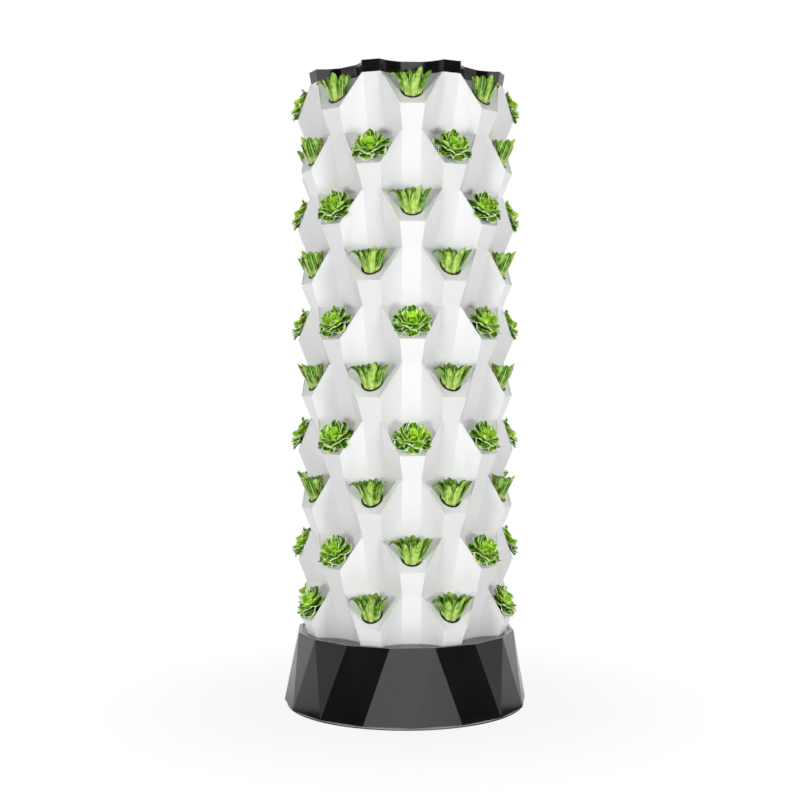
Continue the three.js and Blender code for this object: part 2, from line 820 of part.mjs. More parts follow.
function pumpBody() {
  const middle = (pumpLength - chamberDepth) / 2;
  const housing = roundedBlock(
    pumpWidth, pumpLength, pumpCorner, pumpFootZ, pumpFootZ + pumpHeight, moved(0, middle, 0),
  );
  const outlet = rod(outletRadius, pumpFootZ + pumpHeight - overrun, outletTopZ, roundSides);
  const bore = rod(outletBore, chamberZ, outletTopZ + overrun, roundSides);
  const chamber = placed(rod(chamberRadius, -chamberDepth, overrun, roundSides), chamberFrame());
  const shaftHole = placed(
    rod(shaftRadius + seatGap, -chamberDepth - shaftSeatDepth, -chamberDepth + overrun, slimSides),
    chamberFrame(),
  );
  const solid = housing.add(outlet).subtract(bore).subtract(chamber).subtract(shaftHole);
  return pieceOf('pump_body', solid, materials.pump);
}

// Closed-back impeller: a disc, a hub and upright blades that face the intake.
function impeller() {
  const discZ = -chamberDepth + impellerPlay;
  const disc = rod(impellerRadius, discZ, discZ + impellerDiscThickness, roundSides);
  const hub = rod(impellerHubRadius, discZ, discZ + impellerHubLength, slimSides);
  let solid = disc.add(hub);
  for (let i = 0; i < impellerBladeCount; i += 1) {
    const blade = block(
      impellerRadius - impellerHubRadius / 2, impellerBladeThickness, discZ,
      discZ + impellerDiscThickness + impellerBladeHeight,
      turned((2 * Math.PI * i) / impellerBladeCount)
        .multiply(moved((impellerRadius + impellerHubRadius / 2) / 2, 0, 0)),
    );
    solid = solid.add(blade);
  }
  const round = rod(impellerRadius, discZ - overrun, overrun, roundSides);
  const bore = rod(shaftRadius + runningGap, discZ - overrun, overrun, slimSides);
  return pieceOf('pump_impeller', placed(solid.intersect(round).subtract(bore), chamberFrame()), materials.blade);
}

function pumpShaft() {
  const solid = rod(
    shaftRadius, -chamberDepth - shaftSeatDepth + seatGap, -seatGap, slimSides,
  );
  return pieceOf('pump_shaft', placed(solid, chamberFrame()), materials.steel);
}

// Cover of the chamber: a disc with the intake round a three-legged stay that ends the shaft.
function pumpCover() {
  const plate = tube(pumpCoverRadius, intakeRadius, seatGap, seatGap + pumpCoverThickness, roundSides);
  let solid = plate.add(rod(shaftRadius + impellerPlay, seatGap, seatGap + pumpCoverThickness, slimSides));
  for (let i = 0; i < impellerBladeCount / 2; i += 1) {
    const leg = block(
      intakeRadius + overrun, impellerBladeThickness, seatGap, seatGap + pumpCoverThickness,
      turned((4 * Math.PI * i) / impellerBladeCount).multiply(moved((intakeRadius + overrun) / 2, 0, 0)),
    );
    solid = solid.add(leg);
  }
  return pieceOf('pump_cover', placed(solid, chamberFrame()), materials.pump);
}

function pumpStrainer() {
  const top = seatGap + strainerDepth;
  const width = 2 * (pumpCoverRadius + strainerSideRoom);
  const height = 2 * (pumpCoverRadius + strainerEndRoom);
  let solid = block(width + 2 * strainerWall, height + 2 * strainerWall, seatGap, top).subtract(block(
    width, height, -overrun, top - strainerWall,
  ));
  for (let i = 0; i < strainerSlots; i += 1) {
    const place = ((i + 0.5) / strainerSlots - 0.5) * width;
    solid = solid.subtract(block(
      strainerSlotWidth, strainerSlotLength, top - strainerWall - overrun, top + overrun,
      moved(place, 0, 0),
    ));
  }
  return pieceOf('pump_strainer', placed(solid, chamberFrame()), materials.pump);
}

// Riser, tray and spray head.

const trayRimZ = stackTopZ + collarHeight + seatGap;
const trayFloorZ = trayRimZ + 2 * trayThickness - trayDepth;
const trayRadius = collarRadius - collarWall - slideGap;
const couplerZ = stackZ + (stackTopZ - stackZ) * couplerHeightShare;
const riserTopZ = trayFloorZ + riserAboveTray;

function riser() {
  const sleeveTop = outletTopZ + riserSocketDepth;
  const sleeve = tube(riserRadius + seatGap + socketWall, riserRadius + seatGap,
    sleeveTop - socketNutHeight, sleeveTop, roundSides)
    .subtract(rod(outletRadius + seatGap, sleeveTop - socketNutHeight - overrun, outletTopZ + seatGap, roundSides));
  const lowerTop = couplerZ - couplerStop / 2 - seatGap;
  const upperFoot = couplerZ + couplerStop / 2 + seatGap;
  const coupler = tube(riserRadius + seatGap + socketWall, riserRadius + seatGap,
    couplerZ - couplerLength / 2, couplerZ + couplerLength / 2, roundSides)
    .add(tube(riserRadius + seatGap + socketWall, riserBore,
      couplerZ - couplerStop / 2, couplerZ + couplerStop / 2, roundSides));
  return [
    pieceOf('riser_sleeve', sleeve, materials.pump),
    pieceOf('riser_lower', tube(riserRadius, riserBore, outletTopZ + seatGap, lowerTop, roundSides), materials.pipe),
    pieceOf('riser_coupler', coupler, materials.pipe),
    pieceOf('riser_upper', tube(riserRadius, riserBore, upperFoot, riserTopZ, roundSides), materials.pipe),
  ];
}

// A pan that hangs by its rim on the top tier's collar, with drip holes over the tiers' walls.
function dripTray() {
  const footZ = trayFloorZ - trayThickness;
  const rimTopZ = trayRimZ + trayThickness;
  const collarOuter = riserRadius + slideGap + trayThickness;
  let solid = rod(trayRadius, footZ, rimTopZ, collarSides)
    .add(rod(collarRadius, trayRimZ, rimTopZ, collarSides))
    .subtract(rod(trayRadius - trayThickness, trayFloorZ, rimTopZ + overrun, collarSides))
    .add(rod(collarOuter, footZ, trayFloorZ + trayCollarHeight, roundSides))
    .subtract(rod(riserRadius + slideGap, footZ - overrun, rimTopZ + overrun, roundSides));
  for (let i = 0; i < pocketCount; i += 1) {
    const place = polar(trayRadius - trayHoleInset, 0, i * sector, 0);
    const hole = rod(trayHoleRadius, footZ - overrun, trayFloorZ + overrun, trayHoleSides);
    solid = solid.subtract(placed(hole, moved(place.x, place.y, place.z)));
  }
  return pieceOf('drip_tray', solid, materials.cover);
}

function sprayHead() {
  const lowZ = trayFloorZ + seatGap;
  const topZ = lowZ + sprayHeight;
  let solid = rod(sprayRadius, lowZ, topZ, roundSides)
    .subtract(rod(sprayRadius - sprayTop, lowZ - overrun, topZ - sprayTop, roundSides));
  for (let i = 0; i < spraySlotCount; i += 1) {
    solid = solid.subtract(block(
      2 * sprayRadius + overrun, spraySlotWidth, lowZ - overrun, lowZ + spraySlotHeight,
      turned((Math.PI * (i + 0.5)) / spraySlotCount),
    ));
  }
  return pieceOf('spray_head', solid, materials.cover);
}

const tower = new THREE.Group();
tower.add(
  footPlate(),
  tank(),
  tankCover(),
  fillerCap(),
  cableGrommet(),
  ...drainFittings(),
  pumpBody(),
  impeller(),
  pumpShaft(),
  pumpCover(),
  pumpStrainer(),
  ...riser(),
  tiers(),
  dripTray(),
  sprayHead(),
  topCap(),
);

export default tower;
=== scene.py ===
# The looks of a vertical planter tower: white tiers, net cups, two kinds of lettuce, black tank and cap.
# Metres, +Z up, the front towards -Y. Azimuths are counted from the front towards +X.
import math
import random

import bmesh
import bpy
from mathutils import Matrix, Vector


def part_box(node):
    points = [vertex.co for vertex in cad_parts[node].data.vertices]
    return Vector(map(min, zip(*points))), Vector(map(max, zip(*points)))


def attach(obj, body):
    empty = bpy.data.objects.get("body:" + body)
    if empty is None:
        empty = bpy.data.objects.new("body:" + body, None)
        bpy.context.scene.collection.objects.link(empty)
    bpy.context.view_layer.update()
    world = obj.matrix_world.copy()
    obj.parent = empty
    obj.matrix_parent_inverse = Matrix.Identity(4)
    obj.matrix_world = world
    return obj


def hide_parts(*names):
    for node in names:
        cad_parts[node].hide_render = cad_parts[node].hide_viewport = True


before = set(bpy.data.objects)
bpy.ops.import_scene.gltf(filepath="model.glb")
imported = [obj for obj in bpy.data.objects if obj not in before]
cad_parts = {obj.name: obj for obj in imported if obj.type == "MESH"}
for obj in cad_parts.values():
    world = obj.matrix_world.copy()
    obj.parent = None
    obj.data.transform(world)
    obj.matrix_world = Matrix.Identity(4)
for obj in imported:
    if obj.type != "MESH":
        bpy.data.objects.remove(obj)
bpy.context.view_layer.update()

stack = dict(tiers=10, pockets=8, seatGap=0.0003)
sector = math.tau / stack["pockets"]
tierNumbers = range(1, stack["tiers"] + 1)
onePoint = 0.00001  # points closer than this become one
oneLevel = 0.0001  # points closer than this to a height lie on it


def tierName(kind, number):
    return f"{kind}_{number:02d}"


def tierTurn(number):  # every other tier is turned by half a pocket
    return sector / 2 if number % 2 else 0.0


def tierPlace(number):  # from a tier's own frame, its foot at z 0, to its place in the stack
    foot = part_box(tierName("tier", number))[0].z - stack["seatGap"]
    return Matrix.Translation((0, 0, foot)) @ Matrix.Rotation(tierTurn(number), 4, "Z")


def pocketTurn(pocket):
    return Matrix.Rotation(pocket * sector, 4, "Z")


def polar(radius, sideways, azimuth, z):
    return Vector((
        radius * math.sin(azimuth) + sideways * math.cos(azimuth),
        -radius * math.cos(azimuth) + sideways * math.sin(azimuth),
        z,
    ))


# Shader groups.

def newGroup(name, inputs, outputs):
    group = bpy.data.node_groups.new(name, "ShaderNodeTree")
    for label, kind, value in inputs:
        socket = group.interface.new_socket(label, in_out="INPUT", socket_type=f"NodeSocket{kind}")
        socket.default_value = value
    for label, kind in outputs:
        group.interface.new_socket(label, in_out="OUTPUT", socket_type=f"NodeSocket{kind}")
    return group, group.nodes.new("NodeGroupInput"), group.nodes.new("NodeGroupOutput")


def closeGroup(group, leave, results):
    for label, result in results.items():
        group.links.new(result, leave.inputs[label])
    return group


def addNode(tree, kind, settings=None, links=None):  # links: input name or number to a socket or a value
    node = tree.nodes.new(kind)
    for key, value in (settings or {}).items():
        setattr(node, key, value)
    for key, source in (links or {}).items():
        if isinstance(source, bpy.types.NodeSocket):
            tree.links.new(source, node.inputs[key])
        else:
            node.inputs[key].default_value = source
    return node


def mathNode(tree, operation, *values, clamp=False):
    settings = {"operation": operation, "use_clamp": clamp}
    return addNode(tree, "ShaderNodeMath", settings, dict(enumerate(values))).outputs[0]


def times(tree, first, second):
    return mathNode(tree, "MULTIPLY", first, second)


def mixColour(tree, share, first, second):
    return addNode(tree, "ShaderNodeMix", {"data_type": "RGBA"}, {0: share, 6: first, 7: second}).outputs[2]


def stretch(tree, value, low, high, toLow, toHigh, smooth=False):
    return addNode(
        tree, "ShaderNodeMapRange", {"interpolation_type": "SMOOTHSTEP" if smooth else "LINEAR"},
        {0: value, 1: low, 2: high, 3: toLow, 4: toHigh},
    ).outputs[0]


def noise(tree, place, scale, detail):
    links = {"Vector": place, "Scale": scale, "Detail": detail}
    return addNode(tree, "ShaderNodeTexNoise", None, links).outputs[0]


def splitVector(tree, source):
    return addNode(tree, "ShaderNodeSeparateXYZ", None, {0: source}).outputs


def useGroup(tree, name, links):
    return addNode(tree, "ShaderNodeGroup", {"node_tree": groups[name]}, links).outputs


mouldedSkin = dict(
    grainDetail=2.0, mottleScale=5.0, mottleDetail=3.0, mottleSpan=(0.35, 0.65),
    smearScale=24.0, smearDetail=4.0, smearSpan=(0.3, 0.7),
    dustFrom=0.35, speckSpan=(0.42, 0.7), leastSpecks=0.25,
)


def makeMouldedGrain():  # fine skin of moulded plastic, with a slow unevenness and settled dust
    look = mouldedSkin
    group, enter, leave = newGroup(
        "mouldedGrain",
        [("Grain Size", "Float", 900.0), ("Smoothest", "Float", 0.25), ("Roughest", "Float", 0.35)],
        [("Grain", "Float"), ("Roughness", "Float"), ("Mottle", "Float"), ("Dust", "Float")],
    )
    given = enter.outputs
    place = addNode(group, "ShaderNodeTexCoord").outputs["Object"]
    mottle = noise(group, place, look["mottleScale"], look["mottleDetail"])
    smear = noise(group, place, look["smearScale"], look["smearDetail"])
    upwards = splitVector(group, addNode(group, "ShaderNodeNewGeometry").outputs["Normal"])["Z"]
    settled = stretch(group, upwards, look["dustFrom"], 1.0, 0.0, 1.0, smooth=True)
    specks = stretch(group, smear, *look["speckSpan"], look["leastSpecks"], 1.0, smooth=True)
    return closeGroup(group, leave, {
        "Grain": noise(group, place, given["Grain Size"], look["grainDetail"]),
        "Roughness": stretch(group, smear, *look["smearSpan"], given["Smoothest"], given["Roughest"]),
        "Mottle": stretch(group, mottle, *look["mottleSpan"], 0.0, 1.0, smooth=True),
        "Dust": times(group, settled, specks),
    })


leafDetail = dict(
    blotchScale=75.0, blotchDetail=3.0, blisterScale=240.0, blisterDetail=2.0, noiseSpan=(0.35, 0.65),
    toneSpread=0.42, ribWidths=(0.11, 0.012), ribFade=(0.55, 1.1), ribMix=0.6, ribHeight=0.8,
    veinWander=0.8, veinFrom=0.2, veinDepth=0.35, blisterHeight=0.8, footFade=(0.25, 1.3),
    tipBorder=0.6, fringeBlotch=0.5, fringeBlister=0.4, fringeFade=(0.3, 1.0), fringeMost=0.95,
    edgedTones=(0.15, 0.5), leastEdge=0.15, roughSpan=(0.3, 0.7), roughness=(0.38, 0.6),
)


def makeLeafSurface():  # rib, side veins, blisters, and a foot and edge of another colour, over the UV map
    look = leafDetail
    group, enter, leave = newGroup(
        "leafSurface",
        [("Foot", "Color", (0.6, 0.7, 0.3, 1)), ("Young", "Color", (0.3, 0.6, 0.1, 1)),
         ("Old", "Color", (0.05, 0.25, 0.02, 1)), ("Rib", "Color", (0.7, 0.8, 0.4, 1)),
         ("Edge", "Color", (0.5, 0.8, 0.3, 1)), ("Foot Length", "Float", 0.4), ("Edge Width", "Float", 0.1),
         ("Veins Along", "Float", 5.0), ("Veins Across", "Float", 4.0), ("Vein Mix", "Float", 0.3)],
        [("Color", "Color"), ("Relief", "Float"), ("Roughness", "Float")],
    )
    given = enter.outputs
    place = addNode(group, "ShaderNodeTexCoord").outputs
    across, along, _ = splitVector(group, place["UV"])
    tone = addNode(group, "ShaderNodeAttribute", {"attribute_name": "leafTone"}).outputs["Fac"]
    blotch = noise(group, place["Object"], look["blotchScale"], look["blotchDetail"])
    blister = noise(group, place["Object"], look["blisterScale"], look["blisterDetail"])

    def uneven(source, reach):
        return stretch(group, source, *look["noiseSpan"], -reach, reach)

    aside = mathNode(group, "ABSOLUTE", mathNode(group, "SUBTRACT", across, 0.5))
    ribShare = mathNode(group, "DIVIDE", aside, stretch(group, along, 0.0, 1.0, *look["ribWidths"]))
    rib = stretch(group, ribShare, *look["ribFade"], 1.0, 0.0, smooth=True)
    turns = mathNode(group, "SUBTRACT", times(group, along, given["Veins Along"]),
                     times(group, aside, given["Veins Across"]))
    turns = mathNode(group, "ADD", turns, times(group, blotch, look["veinWander"]))
    wave = mathNode(group, "COSINE", times(group, turns, math.tau))
    veins = stretch(group, wave, look["veinFrom"], 1.0, 0.0, 1.0, smooth=True)
    footShare = mathNode(group, "DIVIDE", along, given["Foot Length"])
    grown = stretch(group, footShare, *look["footFade"], 0.0, 1.0, smooth=True)
    shade = mathNode(group, "ADD", tone, uneven(blotch, look["toneSpread"]), clamp=True)
    blade = mixColour(group, shade, given["Young"], given["Old"])
    blade = mixColour(group, grown, given["Foot"], blade)
    blade = mixColour(group, times(group, veins, given["Vein Mix"]), blade, given["Rib"])
    fromTip = times(group, mathNode(group, "SUBTRACT", 1.0, along), look["tipBorder"])
    border = mathNode(group, "MINIMUM", mathNode(group, "SUBTRACT", 0.5, aside), fromTip)
    fray = mathNode(group, "ADD", uneven(blotch, look["fringeBlotch"]),
                    uneven(blister, look["fringeBlister"]))
    fringe = mathNode(group, "ADD", mathNode(group, "DIVIDE", border, given["Edge Width"]), fray)
    edging = times(group, stretch(group, fringe, *look["fringeFade"], look["fringeMost"], 0.0, smooth=True),
                   stretch(group, tone, *look["edgedTones"], look["leastEdge"], 1.0))
    blade = mixColour(group, edging, blade, given["Edge"])
    blade = mixColour(group, times(group, rib, look["ribMix"]), blade, given["Rib"])
    relief = mathNode(group, "SUBTRACT", times(group, blister, look["blisterHeight"]),
                      times(group, veins, look["veinDepth"]))
    return closeGroup(group, leave, {
        "Color": blade,
        "Relief": mathNode(group, "ADD", times(group, rib, look["ribHeight"]), relief),
        "Roughness": stretch(group, blister, *look["roughSpan"], *look["roughness"]),
    })


groups = dict(mouldedGrain=makeMouldedGrain(), leafSurface=makeLeafSurface())
print("shader groups:", ", ".join(groups))


# Materials.

def newMaterial(name):
    material = bpy.data.materials.new(name)
    material.use_nodes = True
    return material, material.node_tree, material.node_tree.nodes["Principled BSDF"]


def addBump(tree, shader, height, strength, distance):
    links = {"Height": height, "Strength": strength, "Distance": distance}
    tree.links.new(addNode(tree, "ShaderNodeBump", None, links).outputs[0], shader.inputs["Normal"])


plastics = dict(  # roughness of the smoothest and the roughest spots; the grain's noise scale and depth
    whiteShell=dict(colour=(0.85, 0.85, 0.855), mottled=(0.845, 0.845, 0.85), dusty=(0.82, 0.81, 0.78),
                    roughness=(0.30, 0.33), grain=(1400.0, 0.0001), dust=0.02, specular=0.9),
    blackShell=dict(colour=(0.006, 0.006, 0.0065), mottled=(0.008, 0.008, 0.0085), dusty=(0.08, 0.08, 0.08),
                    roughness=(0.10, 0.15), grain=(1600.0, 0.00004), dust=0.04, specular=0.95),
    # grey for the foot plate's upward sloping edge: a painted highlight where that edge catches the light
    paintedHighlightGrey=dict(colour=(0.42, 0.42, 0.42), mottled=(0.38, 0.38, 0.38), dusty=(0.5, 0.5, 0.5),
                  roughness=(0.25, 0.35), grain=(1600.0, 0.00005), dust=0.1),
    greyCover=dict(colour=(0.085, 0.085, 0.087), mottled=(0.10, 0.10, 0.102), dusty=(0.2, 0.2, 0.2),
                   roughness=(0.22, 0.32), grain=(1400.0, 0.0001), dust=0.2),
    cupPlastic=dict(colour=(0.008, 0.008, 0.008), mottled=(0.014, 0.014, 0.013), dusty=(0.06, 0.05, 0.04),
                    roughness=(0.42, 0.6), grain=(1100.0, 0.0002), dust=0.3),
    growFoam=dict(colour=(0.012, 0.010, 0.007), mottled=(0.03, 0.024, 0.016), dusty=(0.05, 0.042, 0.03),
                  roughness=(0.85, 1.0), grain=(420.0, 0.0015), dust=0.5),
    palePipe=dict(colour=(0.72, 0.73, 0.74), mottled=(0.68, 0.69, 0.70), dusty=(0.6, 0.58, 0.54),
                  roughness=(0.35, 0.5), grain=(900.0, 0.0001), dust=0.2),
    pumpPlastic=dict(colour=(0.03, 0.033, 0.038), mottled=(0.04, 0.043, 0.048), dusty=(0.10, 0.10, 0.10),
                     roughness=(0.4, 0.55), grain=(700.0, 0.0003), dust=0.3),
    bladePlastic=dict(colour=(0.60, 0.62, 0.64), mottled=(0.55, 0.57, 0.6), dusty=(0.5, 0.5, 0.48),
                      roughness=(0.35, 0.5), grain=(900.0, 0.0001), dust=0.1),
    groundSteel=dict(colour=(0.62, 0.63, 0.65), mottled=(0.55, 0.56, 0.58), dusty=(0.5, 0.5, 0.5),
                     roughness=(0.18, 0.32), grain=(2400.0, 0.00004), dust=0.05, metal=1.0),
    softRubber=dict(colour=(0.02, 0.02, 0.022), mottled=(0.028, 0.028, 0.03), dusty=(0.09, 0.09, 0.085),
                    roughness=(0.65, 0.85), grain=(800.0, 0.0003), dust=0.3),
)
plasticBump = 0.35


def plastic(name, colour, mottled, dusty, roughness, grain, dust, metal=0.0, specular=0.5):
    material, tree, shader = newMaterial(name)
    scale, depth = grain
    skin = useGroup(tree, "mouldedGrain",
                    {"Grain Size": scale, "Smoothest": roughness[0], "Roughest": roughness[1]})
    base = mixColour(tree, skin["Mottle"], (*colour, 1), (*mottled, 1))
    base = mixColour(tree, times(tree, skin["Dust"], dust), base, (*dusty, 1))
    tree.links.new(base, shader.inputs["Base Color"])
    tree.links.new(skin["Roughness"], shader.inputs["Roughness"])
    shader.inputs["Metallic"].default_value = metal
    shader.inputs["Specular IOR Level"].default_value = specular
    addBump(tree, shader, skin["Grain"], plasticBump, depth)
    return material


leafLooks = dict(
    romaineLeaf={
        "Foot": (0.48, 0.68, 0.14), "Young": (0.48, 0.72, 0.13), "Old": (0.045, 0.17, 0.001),
        "Rib": (0.66, 0.86, 0.34), "Edge": (0.09, 0.26, 0.004), "Foot Length": 0.18, "Edge Width": 0.04,
        "Veins Along": 0.8, "Veins Across": 3.2, "Vein Mix": 0.28,
    },
    rosetteLeaf={
        "Foot": (0.04, 0.22, 0.001), "Young": (0.50, 0.90, 0.008), "Old": (0.012, 0.105, 0.001),
        "Rib": (0.52, 0.84, 0.16), "Edge": (0.85, 0.99, 0.62), "Foot Length": 0.30, "Edge Width": 0.13,
        "Veins Along": 4.0, "Veins Across": 3.0, "Vein Mix": 0.2,
    },
)
leafGloss = dict(specular=0.03, bump=0.7, depth=0.0012)


def leaf(name, look):
    material, tree, shader = newMaterial(name)
    links = {label: (*value, 1) if isinstance(value, tuple) else value for label, value in look.items()}
    surface = useGroup(tree, "leafSurface", links)
    tree.links.new(surface["Color"], shader.inputs["Base Color"])
    tree.links.new(surface["Roughness"], shader.inputs["Roughness"])
    shader.inputs["Specular IOR Level"].default_value = leafGloss["specular"]
    addBump(tree, shader, surface["Relief"], leafGloss["bump"], leafGloss["depth"])
    return material


finishes = {name: plastic(name, **look) for name, look in plastics.items()}
finishes.update({name: leaf(name, look) for name, look in leafLooks.items()})
print("materials:", len(finishes))


# Mesh helpers.

def newObject(name, data):
    made = bpy.data.objects.new(name, data)
    bpy.context.scene.collection.objects.link(made)
    return made


def newMesh(name, bm):
    mesh = bpy.data.meshes.new(name)
    bm.to_mesh(mesh)
    bm.free()
    return mesh


def addPiece(name, bm, materials, body, replaced=(), smooth=30.0):
    mesh = newMesh(name, bm)
    for material in materials:
        mesh.materials.append(finishes[material])
    piece = newObject(name, mesh)
    mesh.shade_smooth()
    mesh.set_sharp_from_angle(angle=math.radians(smooth))
    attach(piece, body)
    if replaced:
        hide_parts(*replaced)
    return piece


def addModifier(piece, kind, **settings):
    modifier = piece.modifiers.new(kind.lower(), kind)
    for key, value in settings.items():
        setattr(modifier, key, value)


def addWall(piece, thickness, flatWeight=60):  # inside the outer face, and flats look flat up to their edges
    addModifier(piece, "SOLIDIFY", thickness=thickness, offset=-1.0)
    addModifier(piece, "WEIGHTED_NORMAL", mode="FACE_AREA", weight=flatWeight, keep_sharp=True)


def addFace(bm, *points):
    bm.faces.new([bm.verts.new(point) for point in points])


def moveNew(bm, start, matrix):  # moves the vertices from number start on
    bm.verts.ensure_lookup_table()
    bmesh.ops.transform(bm, matrix=matrix, verts=bm.verts[start:])


def stamp(bm, mesh, matrix):
    start = len(bm.verts)
    bm.from_mesh(mesh)
    moveNew(bm, start, matrix)


def stamped(mesh, places):
    bm = bmesh.new()
    for place in places:
        stamp(bm, mesh, place)
    return bm


def weld(bm):
    bmesh.ops.remove_doubles(bm, verts=bm.verts, dist=onePoint)


def pick(geometry, kind):
    return [item for item in geometry if isinstance(item, kind)]


def atLevel(bm, height):
    return [vert for vert in bm.verts if abs(vert.co.z - height) < oneLevel]


def outward(vert):
    return Vector((vert.co.x, vert.co.y, 0)).normalized()


def lathe(bm, outline, steps):  # revolves radius and height points about Z
    start = len(bm.verts)
    verts = [bm.verts.new((radius, 0, height)) for radius, height in outline]
    edges = [bm.edges.new(pair) for pair in zip(verts, verts[1:])]
    if outline[0][0] > 0:
        edges.append(bm.edges.new((verts[-1], verts[0])))
    bmesh.ops.spin(bm, geom=verts + edges, cent=(0, 0, 0), axis=(0, 0, 1), angle=math.tau, steps=steps,
                   use_merge=True)
    bm.verts.ensure_lookup_table()
    bmesh.ops.remove_doubles(bm, verts=bm.verts[start:], dist=onePoint)
    bm.verts.ensure_lookup_table()
    faces = list({face for vert in bm.verts[start:] for face in vert.link_faces})
    bmesh.ops.recalc_face_normals(bm, faces=faces)


def roundEdges(bm, edges, width):
    bmesh.ops.bevel(bm, geom=edges, offset=width, segments=2, profile=0.5, affect="EDGES",
                    clamp_overlap=True, material=-1)


def creases(bm, degrees, shortest=0.0):
    limit = math.radians(degrees)
    return [edge for edge in bm.edges if len(edge.link_faces) == 2 and edge.calc_face_angle(0) > limit
            and edge.calc_length() > shortest]


def ring(bm, radius, turn, z, sides):
    return bmesh.ops.create_circle(
        bm, cap_ends=False, segments=sides, radius=radius,
        matrix=Matrix.Translation((0, 0, z)) @ Matrix.Rotation(turn - math.pi / 2, 4, "Z"),
    )["verts"]


def loopEdges(verts):
    inside = set(verts)
    return list({edge for vert in verts for edge in vert.link_edges if edge.other_vert(vert) in inside})


def drawOn(bm, edges, matrix):  # extrudes a loop of edges and moves the new loop
    made = bmesh.ops.extrude_edge_only(bm, edges=edges)["geom"]
    bmesh.ops.transform(bm, matrix=matrix, verts=pick(made, bmesh.types.BMVert))
    return pick(made, bmesh.types.BMEdge), pick(made, bmesh.types.BMFace)


def widen(radius, newRadius):
    share = newRadius / radius
    return Matrix.Diagonal((share, share, 1, 1))


# Planting tiers.

tierShell = dict(
    landRadius=0.306, landHalf=0.0284, scoopDepth=0.042, lipRadius=0.3335, lipHalf=0.0372, lipHeight=0.0705,
    pitch=0.170, wall=0.003, seatFromLip=0.054, holeRadius=0.0303, scoopSteps=14, holeSteps=20,
    edgeRound=0.0014, creaseAngle=14.0, shortestCrease=0.02,
)


def scoopFacts():  # the circle that a scoop follows: its centre, the turn of one side and where the flat lies
    half, land, depth = tierShell["landHalf"], tierShell["landRadius"], tierShell["scoopDepth"]
    corner = math.hypot(half, land)
    angle = sector / 2 - math.atan2(half, land)
    chord, halfChord = corner * math.cos(angle), corner * math.sin(angle)
    radius = (halfChord ** 2 + depth ** 2) / (2 * depth)
    centre = chord - depth + radius
    return dict(centre=centre, flatRadius=centre - math.sqrt(radius ** 2 - half ** 2),
                turn=math.asin(halfChord / radius) - math.asin(half / radius))


scoop = scoopFacts()
openingRun = tierShell["lipRadius"] - scoop["flatRadius"]
openingRise = tierShell["pitch"] - tierShell["lipHeight"]
cupTilt = math.atan2(openingRun, openingRise)
seatShare = tierShell["seatFromLip"] / math.hypot(openingRun, openingRise)
seatCentre = polar(tierShell["lipRadius"] - openingRun * seatShare, 0, 0,
                   tierShell["lipHeight"] + openingRise * seatShare)
cupFrame = Matrix.Translation(seatCentre) @ Matrix.Rotation(math.pi / 2 - cupTilt, 4, "X")
cupAxes = cupFrame.to_3x3()


def addFan(bm, start, azimuth, apex):  # spins a scoop's curved side and draws it to one corner
    first = bm.verts.new(start)
    before = set(bm.edges)
    bmesh.ops.spin(bm, geom=[first], cent=polar(scoop["centre"], 0, azimuth, 0), axis=(0, 0, 1),
                   angle=-scoop["turn"], steps=tierShell["scoopSteps"])
    arc = [edge for edge in bm.edges if edge not in before]
    made = bmesh.ops.extrude_edge_only(bm, edges=arc)["geom"]
    bmesh.ops.pointmerge(bm, verts=pick(made, bmesh.types.BMVert), merge_co=apex)


def addHalfOpening(bm, corners):  # half of the sloped face, round half of the hole for the cup
    rim = bm.verts.new(seatCentre + cupAxes @ Vector((0, -tierShell["holeRadius"], 0)))
    before = set(bm.edges)
    last = bmesh.ops.spin(bm, geom=[rim], cent=seatCentre, axis=cupAxes @ Vector((0, 0, 1)), angle=math.pi,
                          steps=tierShell["holeSteps"])["geom_last"]
    border = [edge for edge in bm.edges if edge not in before]
    outer = [rim] + [bm.verts.new(corner) for corner in corners] + pick(last, bmesh.types.BMVert)
    border += [bm.edges.new(pair) for pair in zip(outer, outer[1:])]
    bmesh.ops.edgeloop_fill(bm, edges=border)


def pocketSurface(withHole):  # one pocket of a tier: the half towards +X, and its mirrored copy
    sizes = tierShell
    bm = bmesh.new()
    half, between, head, flat = sizes["landHalf"], sector / 2, sizes["pitch"], scoop["flatRadius"]
    footMiddle, footCorner = polar(sizes["landRadius"], 0, 0, 0), polar(sizes["landRadius"], half, 0, 0)
    lipMiddle = polar(sizes["lipRadius"], 0, 0, sizes["lipHeight"])
    lipCorner = polar(sizes["lipRadius"], sizes["lipHalf"], 0, sizes["lipHeight"])
    headMiddle, headFlat = polar(flat, 0, 0, head), polar(flat, half, 0, head)
    nextCorner = polar(sizes["landRadius"], -half, between, head)
    nextMiddle = polar(sizes["landRadius"], 0, between, head)
    lowFlat, lowMiddle = polar(flat, -half, between, 0), polar(flat, 0, between, 0)
    addFace(bm, footMiddle, footCorner, lipCorner, lipMiddle)
    addFace(bm, footCorner, nextCorner, lipCorner)
    addFace(bm, lowFlat, lowMiddle, nextMiddle, nextCorner)
    addFan(bm, footCorner, between, nextCorner)
    addFan(bm, headFlat, 0, lipCorner)
    opening = (lipMiddle, lipCorner, headFlat, headMiddle)
    if withHole:
        addHalfOpening(bm, opening)
    else:
        addFace(bm, *opening)
    other = bmesh.ops.duplicate(bm, geom=bm.verts[:] + bm.edges[:] + bm.faces[:])["geom"]
    bmesh.ops.scale(bm, vec=(-1, 1, 1), verts=pick(other, bmesh.types.BMVert))
    weld(bm)
    return newMesh("pocketSurface", bm)


def shellSurface(withHoles=False):  # the outer face of one tier, in its own frame
    bm = stamped(pocketSurface(withHoles), [pocketTurn(pocket) for pocket in range(stack["pockets"])])
    weld(bm)
    bmesh.ops.recalc_face_normals(bm, faces=bm.faces)
    return bm


